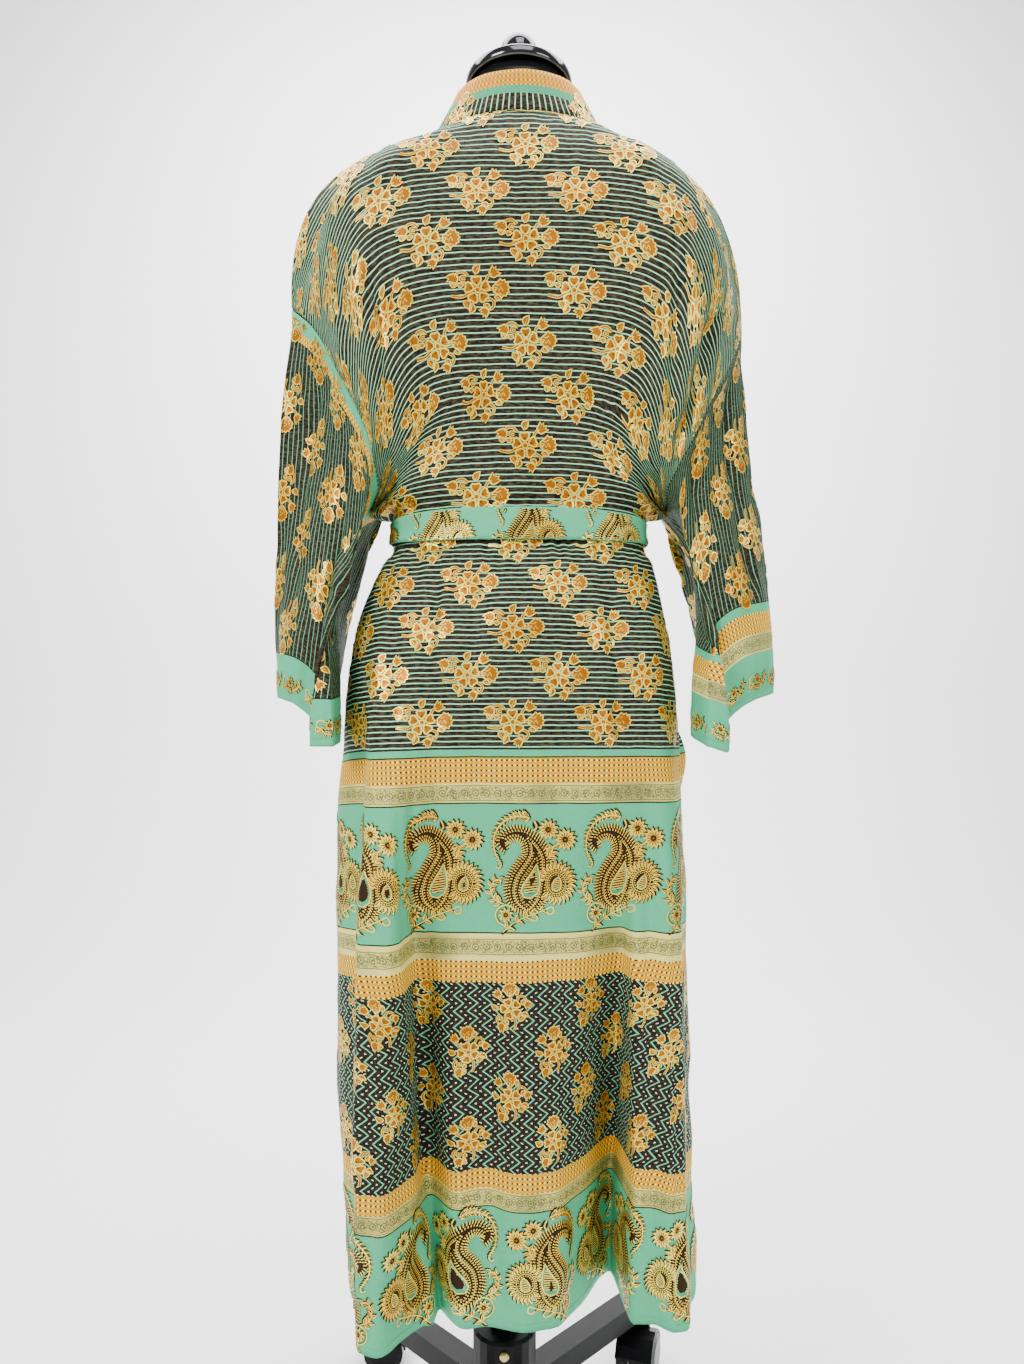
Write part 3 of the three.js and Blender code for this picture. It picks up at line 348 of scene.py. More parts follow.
def crease(u, v, path, depth, width, seed=1, lean=0.5):
    # A soft uneven trough (depth < 0) or ridge along a path of (u, v) points, steeper on one
    # side; it fades at both ends and wanders a little.
    path = np.array(path, float)
    legs = np.linalg.norm(np.diff(path, axis=0), axis=1)
    total, best, place, sign = legs.sum(), np.full(u.shape, 1e9), np.zeros(u.shape), np.zeros(u.shape)
    wander = width * 0.6 * smoothNoise(u, v, width * 4, seed)
    done = 0.0
    for k, leg in enumerate(legs):
        d = (path[k + 1] - path[k]) / leg
        t = np.clip((u - path[k, 0]) * d[0] + (v - path[k, 1]) * d[1], 0, leg)
        du, dv = u - path[k, 0] - t * d[0], v - path[k, 1] - t * d[1]
        across = du * d[1] - dv * d[0]
        far = np.hypot(du, dv)
        near = far < best
        best = np.where(near, far, best)
        sign = np.where(near, np.sign(across), sign)
        place = np.where(near, (done + t) / total, place)
        done += leg
    signed = best * sign + wander
    side = np.where(signed > 0, 1 + lean, 1 - lean * 0.5)
    shape = np.exp(-((signed / (width * side)) ** 2))
    fade = ease(place * 5) * ease((1 - place) * 4)
    uneven = 1 + 0.35 * smoothNoise(u, v, width * 5, seed + 7)
    return depth * shape * fade * uneven


def gridNormals(p, ring=False):
    if ring:
        across = np.roll(p, -1, 1) - np.roll(p, 1, 1)
    else:
        across = np.gradient(p, axis=1)
    n = np.cross(np.gradient(p, axis=0), across)
    return n / np.maximum(np.linalg.norm(n, axis=-1, keepdims=True), tiny)


# Cloth meshes.
def linked(name, data):
    obj = bpy.data.objects.new(name, data)
    bpy.context.scene.collection.objects.link(obj)
    return obj


def smoothed(mesh):
    mesh.polygons.foreach_set("use_smooth", np.ones(len(mesh.polygons), bool))


# A cloth piece rides on the figure and stands for its CAD node.
def standIn(obj, node, material):
    obj.data.materials.append(material)
    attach(obj, "figure")
    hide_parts(node)


def sheetFaces(rows, columns, ring):
    i, j = np.meshgrid(np.arange(rows - 1), np.arange(columns if ring else columns - 1), indexing="ij")
    i, j = i.ravel(), j.ravel()
    k = (j + 1) % columns
    here, below = i * columns, (i + 1) * columns
    return np.stack((here + j, below + j, below + k, here + k), 1), i, j


def clothObject(name, p, u, v, ring=False, thickness=robe["thickness"], second=None):
    # A thin shell: p is its outer side in millimetres, u and v the cloth coordinates of each
    # column and row, with one more column than p where the sheet closes on itself.
    rows, columns = p.shape[:2]
    n = gridNormals(p, ring)
    points = np.concatenate((p.reshape(-1, 3), (p - thickness * n).reshape(-1, 3))) * mm
    outer, i, j = sheetFaces(rows, columns, ring)
    inner = outer[:, ::-1] + rows * columns
    wide = u.shape[1]
    corners = np.stack((i * wide + j, (i + 1) * wide + j, (i + 1) * wide + j + 1, i * wide + j + 1), 1)
    faces, uvAt = [outer, inner], [corners, corners[:, ::-1]]
    half = rows * columns
    line = np.arange(columns if ring else columns - 1)
    after = (line + 1) % columns

    def rim(a, b, c, d, turn):
        ends, marks = (a, b, b + half, a + half), (c, d, d, c)
        faces.append(np.stack(ends[::-1] if turn else ends, 1))
        uvAt.append(np.stack(marks[::-1] if turn else marks, 1))

    for row, turn in ((0, False), (rows - 1, True)):
        start, mark = row * columns, row * wide + line
        rim(start + line, start + after, mark, mark + 1, turn)
    if not ring:
        down = np.arange(rows - 1)
        for column, turn in ((0, True), (columns - 1, False)):
            start, mark = down * columns + column, down * wide + column
            rim(start, start + columns, mark, mark + wide, turn)
    faces, uvAt = np.concatenate(faces), np.concatenate(uvAt)
    mesh = bpy.data.meshes.new(name)
    mesh.vertices.add(len(points))
    mesh.vertices.foreach_set("co", points.ravel())
    mesh.loops.add(faces.size)
    mesh.loops.foreach_set("vertex_index", faces.ravel().astype(np.int32))
    mesh.polygons.add(len(faces))
    mesh.polygons.foreach_set("loop_start", np.arange(0, faces.size, 4, dtype=np.int32))
    mesh.update(calc_edges=True)
    for label, a, b in (("print", u, v),) + (() if second is None else (("edge", *second),)):
        layer = mesh.uv_layers.new(name=label)
        flat = np.stack((a.ravel(), b.ravel()), 1)[uvAt.ravel()] * mm
        layer.data.foreach_set("uv", flat.ravel())
    smoothed(mesh)
    mesh.validate()
    return linked(name, mesh)


def area(p, ring=False):
    q = np.concatenate((p, p[:, :1]), 1) if ring else p
    a = np.cross(q[1:, :-1] - q[:-1, :-1], q[:-1, 1:] - q[:-1, :-1])
    b = np.cross(q[1:, 1:] - q[1:, :-1], q[1:, 1:] - q[:-1, 1:])
    return (np.linalg.norm(a, axis=2).sum() + np.linalg.norm(b, axis=2).sum()) / 2 * mm * mm


def declareSheet(p, ring=False):
    # Works out a sheet's own area; the result is not kept.
    area(p, ring)


class Surface:
    # Finds the point of a sheet at given cloth coordinates. v runs along rows, u along columns.
    step = 2.0

    def __init__(self, p, n, u, v):
        rows, columns = u.shape
        vs = np.arange(v.min(), v.max(), self.step)
        us = np.arange(u.min(), u.max(), self.step)
        self.low = (u.min(), v.min())
        up = slice(None, None, -1) if v[0, columns // 2] > v[-1, columns // 2] else slice(None)
        rowAt = np.empty((len(vs), columns))
        uAt = np.empty((len(vs), columns))
        for j in range(columns):
            heights = np.maximum.accumulate(v[up, j])
            rowAt[:, j] = np.interp(vs, heights, np.arange(rows)[up], left=np.nan, right=np.nan)
            uAt[:, j] = np.interp(np.nan_to_num(rowAt[:, j]), np.arange(rows), u[:, j])
        self.grid = np.full((len(vs), len(us), 6), np.nan)
        both = np.concatenate((p, n), 2)
        for k in range(len(vs)):
            good = np.flatnonzero(~np.isnan(rowAt[k]))
            if len(good) > 1:
                reach = np.maximum.accumulate(uAt[k, good])
                j = np.interp(us, reach, good, left=np.nan, right=np.nan)
                seen = np.flatnonzero(~np.isnan(j))
                i = np.interp(j[seen], good, rowAt[k, good])
                self.grid[k, seen] = self.sample(both, i, j[seen])

    @staticmethod
    def sample(values, i, j):
        i0 = np.clip(i.astype(int), 0, values.shape[0] - 2)
        j0 = np.clip(j.astype(int), 0, values.shape[1] - 2)
        s, t = (i - i0)[:, None], (j - j0)[:, None]
        top = mix(values[i0, j0], values[i0, j0 + 1], t)
        low = mix(values[i0 + 1, j0], values[i0 + 1, j0 + 1], t)
        return mix(top, low, s)

    def at(self, u, v, lift):
        i, j = (v - self.low[1]) / self.step, (u - self.low[0]) / self.step
        inside = (i >= 0) & (j >= 0) & (i < self.grid.shape[0] - 1) & (j < self.grid.shape[1] - 1)
        out = self.sample(self.grid, np.where(inside, i, 0), np.where(inside, j, 0))
        points = out[:, :3] + out[:, 3:] * lift[:, None]
        points[~inside] = np.nan
        return points


# Drawn ornaments.
ochreInk, creamInk, brownInk, mintInk = 0, 1, 2, 3


def leftOf(tangent):
    tangent = tangent / np.maximum(np.linalg.norm(tangent, axis=1, keepdims=True), tiny)
    return np.stack((-tangent[:, 1], tangent[:, 0]), 1)


def fullTurn(steps):
    return np.linspace(0, 2 * math.pi, steps, endpoint=False)


def runOf(path):
    return np.concatenate(([0], np.cumsum(np.linalg.norm(np.diff(path, axis=0), axis=1))))


class Drawing:
    # Flat coloured shapes in millimetres, laid on cloth later. lift is their height over it.
    def __init__(self):
        self.points, self.lifts, self.faces, self.colours = [], [], [], []

    def add(self, points, faces, colour, lift):
        start = len(self.points)
        self.points += [tuple(point) for point in points]
        self.lifts += [lift] * len(points)
        self.faces += [tuple(start + k for k in face) for face in faces]
        self.colours += [colour] * len(faces)

    def fill(self, outline, colour, lift=0.22, rings=None):
        outline = np.array(outline, float)
        middle = outline.mean(0)
        if rings is None:
            rings = (0.55,) if np.linalg.norm(outline - middle, axis=1).max() > 6.2 else ()
        count = len(outline)
        points = np.concatenate([[middle]] + [mix(middle, outline, part) for part in rings] + [outline])
        faces = []
        for k in range(count):
            m = (k + 1) % count
            faces.append((0, 1 + k, 1 + m))
            for ring in range(len(rings)):
                a, b = 1 + ring * count, 1 + (ring + 1) * count
                faces += [(a + k, b + k, b + m), (a + k, b + m, a + m)]
        self.add(points, faces, colour, lift)

    def line(self, path, width, colour, lift=0.36, closed=False, taper=0.0):
        path = np.array(path, float)
        if closed:
            path = np.concatenate((path, path[:1]))
        tangent = np.gradient(path, axis=0)
        if closed:
            tangent[0] = tangent[-1] = path[1] - path[-2]
        side = leftOf(tangent)
        s = np.linspace(0, 1, len(path))[:, None]
        half = width / 2 * (1 - taper * s)
        points = np.stack((path + side * half, path - side * half), 1).reshape(-1, 2)
        faces = []
        for k in range(len(path) - 1):
            a = 2 * k
            faces += [(a, a + 1, a + 3), (a, a + 3, a + 2)]
        self.add(points, faces, colour, lift)

    def petal(self, outline, width):
        self.fill(outline, ochreInk)
        self.line(outline, width, creamInk, closed=True)


def turned(points, angle, at=(0, 0), scale=1.0):
    c, s = math.cos(angle), math.sin(angle)
    points = np.array(points, float) * scale
    x, y = points.T
    return np.stack((c * x - s * y + at[0], s * x + c * y + at[1]), 1)


def arc(middle, radius, start, end, count=9, squash=1.0):
    turn = np.radians(np.linspace(start, end, count))
    return np.stack((middle[0] + radius * np.cos(turn), middle[1] + radius * squash * np.sin(turn)), 1)


def curve(points, count=24):
    # A smooth line through a few points.
    p = np.array(points, float)
    p = np.concatenate(([2 * p[0] - p[1]], p, [2 * p[-1] - p[-2]]))
    t = np.linspace(0, len(points) - 1 - 1e-9, count)
    k = t.astype(int)
    f = (t - k)[:, None]
    a, b, c, d = p[k], p[k + 1], p[k + 2], p[k + 3]
    square, cube = 2 * a - 5 * b + 4 * c - d, 3 * b - a - 3 * c + d
    return 0.5 * (2 * b + (c - a) * f + square * f**2 + cube * f**3)


def leaf(length, width, lean=0.2):
    t = np.linspace(0, 1, 6)
    half = width / 2 * np.sin(np.pi * t**0.8)
    bend = lean * width * np.sin(np.pi * t)
    top = np.stack((t * length, bend + half), 1)
    low = np.stack((t * length, bend - half), 1)[1:-1]
    return np.concatenate((top, low[::-1]))


def heartPetal(length, width):
    side = [(0.1, 0.16), (0.45, 0.42), (0.8, 0.5), (1.0, 0.32), (0.93, 0.0)]
    right = [(x, -y) for x, y in side[:-1]][::-1]
    return np.array(side + right) * (length, width)


def tulip(size):
    return np.array(
        [(0, -0.1), (0.16, -0.42), (0.62, -0.56), (1.08, -0.62), (0.86, -0.3), (1.22, -0.2),
         (0.9, 0.02), (1.16, 0.28), (0.8, 0.26), (0.96, 0.62), (0.55, 0.48), (0.18, 0.34)]
    ) * size


def headFlower(size, teeth=7):
    rim = []
    for k in range(2 * teeth + 1):
        turn = math.radians(mix(-105, 105, k / (2 * teeth)))
        reach = 1.0 if k % 2 else 0.8
        rim.append((0.25 + reach * math.cos(turn), reach * math.sin(turn)))
    return np.array([(-0.62, -0.3)] + rim + [(-0.62, 0.3)]) * size


def bouquet():
    # A bunch of generic flowers: its head points along +u.
    art = Drawing()
    stems = (
        [(-9, 14), (-13.5, 18), (-19.5, 17.5), (-22, 13.8)],
        [(9.6, 9.5), (11.8, 13.6), (16.2, 14.6)],
        [(-10, -3.6), (-17, -6.6), (-27.5, -5.0)],
        [(11.5, -8.5), (16.6, -12), (15.2, -17.5), (11, -19.5)],
        [(-12, 9), (-16.6, 10.2), (-15.2, 13.6), (-11.4, 12.6)],
        [(10, 0), (16, 0.6), (20, 0.8)],
    )
    for path in stems:
        art.line(curve(path, 9), 3.0, creamInk, 0.24)
        art.line(curve(path, 9), 1.5, ochreInk, 0.3)
    leaves = (
        (-1.5, 15.5, 1.1, 11.0, 7.0), (-15.5, -10.5, -0.95, 11.5, 7.0), (-6.5, -13.2, -1.9, 10.5, 6.6),
        (5.5, -14.5, -0.7, 8.5, 5.4), (17.5, -7.4, -0.35, 8.0, 5.0), (-21.5, 4.6, 2.6, 8.0, 5.0),
        (-14.0, 5.0, 2.9, 7.0, 4.6),
    )
    for x, y, turn, length, width in leaves:
        art.petal(turned(leaf(length, width), turn, (x, y)), 1.2)
        art.line(turned([(1.4, 0.4), (length * 0.72, 0.5)], turn, (x, y)), 0.6, creamInk, taper=0.6)
    for at, turn, size in (
        ((14, 13.5), 0.75, 9.4), ((-20, 14.5), 3.75, 10.2), ((10, -19.0), -2.5, 8.2),
    ):
        art.petal(turned(tulip(size), turn, at), 1.3)
    art.petal(turned(headFlower(9.4), 0.05, (22.5, 1.0)), 1.4)
    art.line([(18, -2.4), (20.5, 2.0), (22.5, -1.8), (24.8, 2.4), (26.9, -1.4)], 0.95, creamInk)
    art.line([(18.5, 5.2), (22.0, 3.8), (25.4, 6.0)], 0.85, creamInk)
    art.line([(19.5, -5.6), (23.0, -4.0), (26.2, -5.4)], 0.85, creamInk)
    for k in range(5):
        turn = 2 * math.pi * (k + 0.3) / 5
        root = (3.6 * math.cos(turn), 3.6 * math.sin(turn))
        art.petal(turned(heartPetal(9.6, 10.4), turn, root), 1.7)
        art.line(turned([(5.2, 0), (8.4, 0)], turn), 0.9, brownInk, 0.4, taper=0.5)
    art.petal(arc((0, 0), 2.9, 0, 330, 11), 1.3)
    return art


def pointAt(path, run, s):
    return np.array([np.interp(s, run, path[:, k]) for k in (0, 1)])


# Short strokes side by side along a line, each with its dark edge.
def strokeRow(art, path, gap, length, width, lean):
    run = runOf(path)
    for s in np.arange(gap / 2, run[-1], gap):
        near = (s, min(s + 0.4, run[-1]), max(s - 0.4, 0))
        start, after, before = (pointAt(path, run, place) for place in near)
        d = after - before
        d /= max(np.linalg.norm(d), tiny)
        out = np.array((d[1], -d[0])) + lean * d
        edge = start + d * 0.9
        art.line([edge, edge + out * length], width * 1.2, brownInk, 0.2, taper=0.35)
        art.line([start, start + out * length], width * 0.72, creamInk, 0.32, taper=0.35)


def beadRow(art, path, gap, size, lift=0.5):
    run = runOf(path)
    for s in np.arange(gap / 2, run[-1], gap):
        art.fill(arc(pointAt(path, run, s), size, 0, 288, 5), creamInk, lift)


# A pale leaf between a dark edge, shifted to one side, and a dark vein.
def veined(art, outline, vein, width, shift, lifts):
    art.fill(mix(outline.mean(0), outline, 1.28) + shift, brownInk, lifts[0])
    art.fill(outline, creamInk, lifts[1])
    art.line(vein, width, brownInk, lifts[2])


def daisy(art, at, radius, petals):
    for k in range(petals):
        turn = 2 * math.pi * (k + 0.5) / petals
        root = (at[0] + radius * 0.2 * math.cos(turn), at[1] + radius * 0.2 * math.sin(turn))
        outline = turned(leaf(radius * 0.78, radius * 0.34, 0), turn, root)
        vein = turned([(1, 0), (radius * 0.6, 0)], turn, at)
        veined(art, outline, vein, 0.8, (0.9, 0.8), (0.14, 0.26, 0.36))
    art.fill(arc(at, radius * 0.2, 0, 300, 6), ochreInk, 0.34)


# Leaves on both sides of a stem.
def leafSpray(art, path, count, length, width):
    path = curve(path, 24)
    art.line(path + (0.8, 0.6), 1.7, brownInk, 0.14)
    art.line(path, 1.0, creamInk, 0.26)
    for k in range(count):
        i = int((k + 0.6) / count * 22)
        d = path[i + 1] - path[i]
        size = 1 - 0.35 * k / count
        for way in (0.85, -0.85):
            turn = math.atan2(d[1], d[0]) + way
            outline = turned(leaf(length * size, width * size, 0.1), turn, path[i])
            vein = turned([(1, 0), (length * size * 0.75, 0)], turn, path[i])
            veined(art, outline, vein, 0.8, (0.8, 0.8), (0.16, 0.28, 0.38))


def edgesOf(spine, half):
    # Both edges of a tapering stroke along a spine.
    side = leftOf(np.gradient(spine, axis=0))
    return spine + side * half[:, None], spine - side * half[:, None]


def strokeShape(art, spine, half, colour, lift, strips=2):
    left, right = edgesOf(spine, half)
    part = np.linspace(0, 1, strips + 1)[None, :, None]
    points = mix(left[:, None], right[:, None], part).reshape(-1, 2)
    faces = []
    for k in range(len(spine) - 1):
        for m in range(strips):
            a = (strips + 1) * k + m
            b = a + strips + 1
            faces += [(a, a + 1, b + 1), (a, b + 1, b)]
    art.add(points, faces, colour, lift)


def paisleyBody(art, spine, half, rows):
    # A curled drop: a dark ground with rows of pale marks that follow its edges.
    strokeShape(art, spine[::2], half[::2] + 1.0, brownInk, 0.12, 9)
    for depth, kind, gap, length, width in rows:
        keep = half > depth + 0.4
        a, b = edgesOf(spine[keep], half[keep] - depth)
        path = np.concatenate((b, a[::-1]))
        if kind == "stroke":
            strokeRow(art, path, gap, length, width, 0.35)
        elif kind == "bead":
            beadRow(art, path, gap, length, 0.36)
        else:
            art.line(path, width, creamInk, 0.34)


def hatchedDrop(art, outline, lines, slant, width=1.0):
    outline = np.array(outline, float)
    art.fill(outline, mintInk, 0.5, (0.25, 0.5, 0.75))
    art.line(outline, 1.2, creamInk, 0.6, closed=True)
    inside = mix(outline.mean(0), outline, 0.7)
    art.fill(inside, brownInk, 0.56, (0.35, 0.7))
    low, high = inside[:, 1].min(), inside[:, 1].max()
    for k in range(lines):
        y = mix(low, high, (k + 0.7) / (lines + 0.6))
        close = np.abs(inside[:, 1] - y) < (high - low) / 4.4
        left, right = inside[close, 0].min(), inside[close, 0].max()
        art.line([(left, y - slant), (right, y + slant)], width, creamInk, 0.66)


def paisley():
    # A generic leaf-fringed paisley with a curled tip at its upper left.
    art = Drawing()
    crest = curve(
        [(-1, 52.5), (-8, 54.5), (-16, 54), (-26, 49.6), (-33.6, 41), (-37, 30.5), (-36, 19.5),
         (-32, 11), (-29.6, 6), (-31.4, 2.4), (-34.6, 4.4)], 70)
    strokeShape(art, crest + (0.9, 0.3), mix(1.6, 0.8, np.linspace(0, 1, 70)), brownInk, 0.12)
    art.line(crest, 1.3, creamInk, 0.26)
    for k in range(20):
        i = 1 + int(k * 2.7)
        d = crest[i + 1] - crest[i]
        turn = math.atan2(d[1], d[0])
        size = mix(1.0, 0.34, k / 19)
        for way in (-0.7, 0.75):
            length = (8.6 if way < 0 else 6.0) * size
            outline = turned(leaf(length, 3.7 * size, 0.2), turn + way, crest[i])
            vein = turned([(1, 0), (5.8 * size, 0)], turn + way, crest[i])
            veined(art, outline, vein, 0.95, (0.9, 1.1), (0.14, 0.3, 0.4))
    leafSpray(art, [(-27, -33), (-36, -28), (-40, -18), (-35, -9), (-29, -10)], 6, 8.2, 4.0)
    leafSpray(art, [(-28, -61), (-17, -52), (-6, -46), (5, -42), (15, -38)], 5, 8.4, 4.0)
    art.line(curve([(-29, -63), (-22, -57), (-12, -48)], 9), 2.6, brownInk, 0.2)
    hook = curve([(15, -38), (21, -36), (22.5, -41.5), (18, -43.4), (15.6, -40.6)], 14)
    art.line(hook, 1.5, creamInk, 0.3)
    art.line(curve([(-2, -47), (3, -50), (6.6, -47), (4, -44)], 12), 1.4, creamInk, 0.3)
    daisy(art, (-25, -44), 7.8, 9)
    hoop = arc((-25, -44), 10, 20, 260, 18)
    art.line(hoop + (0.7, 0.5), 1.5, brownInk, 0.2)
    art.line(hoop, 1.3, creamInk, 0.28)
    for path in (
        [(9, 36), (12, 39), (16, 40)], [(13, 22), (21, 24), (30, 29)], [(18, 12), (20, 20), (24, 24)],
    ):
        art.line(curve(path, 8), 2.2, brownInk, 0.2)
        art.line(curve(path, 8), 1.2, creamInk, 0.3)
    daisy(art, (17, 41), 10.6, 12)
    daisy(art, (34, 31), 11.4, 13)
    leafSpray(art, [(16, 12), (20, 17), (22, 25)], 3, 8.4, 4.0)
    bud = curve([(3, 50), (5.4, 44), (2.6, 40)], 8)
    strokeShape(art, bud, np.array([1.6, 3, 3.6, 3.8, 3.4, 2.6, 1.6, 0.6]), brownInk, 0.2)
    art.line(bud, 1.4, creamInk, 0.34)
    spine = curve(
        [(-24.5, 20.5), (-28.5, 28.5), (-22.6, 35.8), (-12.8, 37.8), (-3.7, 33.5), (3.0, 23.2),
         (4.9, 12.2), (1.8, 0), (-2.4, -11), (-4.3, -20.7), (-4.3, -29.3), (-3.9, -35.4),
         (-3.7, -39.6), (-3.7, -41.4)], 96)
    widths = (2.4, 4.4, 5.6, 6.0, 7.4, 10.5, 14.6, 18.2, 20.6, 21, 18.6, 13.6, 7.6, 1.2)
    half = np.interp(np.linspace(0, 1, 96), np.linspace(0, 1, len(widths)), widths)
    rows = (
        (1.4, "stroke", 2.9, 4.2, 1.5), (4.4, "stroke", 2.9, 2.2, 1.4), (6.9, "bead", 2.7, 0.72, 0),
        (8.4, "line", 0, 0, 0.6), (11.0, "stroke", 2.9, 2.0, 1.3), (13.4, "bead", 2.7, 0.7, 0),
        (16.0, "stroke", 2.9, 1.8, 1.2), (18.6, "bead", 2.8, 0.65, 0),
    )
    paisleyBody(art, spine, half, rows)
    drop = [
        (5.5, 7.3), (2.5, 1.5), (-2.2, -5.4), (-7.6, -13.4), (-9.8, -20.2), (-7.3, -25.8),
        (-0.8, -27), (5.6, -23), (8.8, -14), (8.3, -4), (6.8, 2.6),
    ]
    hatchedDrop(art, drop, 9, 0.9)
    small = np.array((25.0, -12.0))
    for k in range(22):
        turn = math.radians(-140 + 14.4 * k)
        at = (small[0] + 10.8 * math.cos(turn), small[1] + 13.0 * math.sin(turn))
        outline = turned(leaf(9.4, 3.9, 0.15), turn, at)
        vein = turned([(1.6, 0), (7.0, 0)], turn, at)
        veined(art, outline, vein, 1.0, (0.9, 0.8), (0.2, 0.42, 0.5))
    art.fill(arc(small, 11.6, 0, 345, 26, 1.18), brownInk, 0.46, (0.3, 0.6, 0.8))
    beadRow(art, arc(small, 10.6, 0, 350, 34, 1.18), 2.45, 0.85, 0.56)
    art.line(arc(small, 8.9, 0, 350, 30, 1.18), 0.7, creamInk, 0.56, closed=True)
    beadRow(art, arc(small, 7.2, 0, 350, 26, 1.18), 2.3, 0.62)
    drop = [
        (2.6, 6.6), (-1.6, 3.4), (-4.4, -1.4), (-3.8, -6.2), (0, -8), (3.8, -6), (5, -1), (4.4, 3),
    ]
    hatchedDrop(art, small + np.array(drop), 5, 0.6, 0.75)
    return art


def cuffSpray():
    # A small flower between curling leaves, for the narrow cuff border.
    art = Drawing()
    daisy(art, (0, 5), 5.6, 9)
    leafSpray(art, [(-15, -4), (-9, 1), (-4, -3), (2, -4)], 4, 5.6, 2.8)
    leafSpray(art, [(4, -4), (9, 1), (14, 6), (12, 11)], 4, 5.6, 2.8)
    art.line(arc((-9, 6), 4, 20, 290, 12), 1.1, creamInk, 0.28)
    return art


def layOn(name, surface, art, places):
    # One mesh of all copies of a drawing; what falls off the sheet's edge is left out.
    # A place is (u, v, angle, scale, mirrored).
    points = np.array(art.points)
    faces, lifts, colours = np.array(art.faces), np.array(art.lifts), np.array(art.colours)
    us, vs, allFaces = [], [], []
    for k, (u, v, angle, scale, mirrored) in enumerate(places):
        q = points * ((-1 if mirrored else 1), 1)
        q = turned(q, angle, (u, v), scale)
        us.append(q[:, 0])
        vs.append(q[:, 1])
        allFaces.append((faces[:, ::-1] if mirrored else faces) + k * len(points))
    p = surface.at(np.concatenate(us), np.concatenate(vs), np.tile(0.3 + 1.9 * lifts, len(places)))
    faces = np.concatenate(allFaces)
    colours = np.tile(colours, len(places))
    keep = ~np.isnan(p[faces]).any((1, 2))
    faces, colours = faces[keep], colours[keep]
    used, index = np.unique(faces, return_inverse=True)
    mesh = bpy.data.meshes.new(name)
    mesh.from_pydata((p[used] * mm).tolist(), [], index.reshape(-1, 3).tolist())
    for ink in inks:
        mesh.materials.append(ink)
    mesh.polygons.foreach_set("material_index", colours.astype(np.int32))
    smoothed(mesh)
    mesh.update()
    obj = linked(name, mesh)
    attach(obj, "figure")
    print(name, len(faces), "faces")
    return obj


# Materials.
paint = {
    "green": (0.045, 0.42, 0.205, 1), "mint": (0.36, 0.84, 0.50, 1),
    "ground": (0.0055, 0.0045, 0.002, 1),
    "heather": (0.085, 0.064, 0.032, 1), "teal": (0.17, 0.56, 0.33, 1),
    "yellow": (0.82, 0.40, 0.0, 1), "gold": (0.82, 0.72, 0.20, 1),
    "zari": (0.10, 0.13, 0.05, 1), "line": (0.012, 0.012, 0.005, 1), "cream": (1.0, 0.80, 0.13, 1),
    "ochre": (0.50, 0.165, 0.0, 1), "brown": (0.022, 0.009, 0.002, 1), "spot": (0.07, 0.022, 0.0, 1),
    "white": (1.0, 1.0, 0.85, 1),
}


# A number inside a material: arithmetic on it makes the nodes.
class Value:
    def __init__(self, graph, socket):
        self.graph, self.socket = graph, socket

    def __add__(self, other):
        return self.graph.math("ADD", self, other)

    def __sub__(self, other):
        return self.graph.math("SUBTRACT", self, other)

    def __rsub__(self, other):
        return self.graph.math("SUBTRACT", other, self)

    def __mul__(self, other):
        return self.graph.math("MULTIPLY", self, other)

    def __truediv__(self, other):
        return self.graph.math("DIVIDE", self, other)

    def __gt__(self, other):
        return self.graph.math("GREATER_THAN", self, other)

    def __lt__(self, other):
        return self.graph.math("LESS_THAN", self, other)

    def fract(self):
        return self.graph.math("FRACT", self)

    def abs(self):
        return self.graph.math("ABSOLUTE", self)

    def wave(self, period):
        # Distance in the value's own unit from the nearest whole period.
        return ((self / period + 0.5).fract() - 0.5).abs() * period


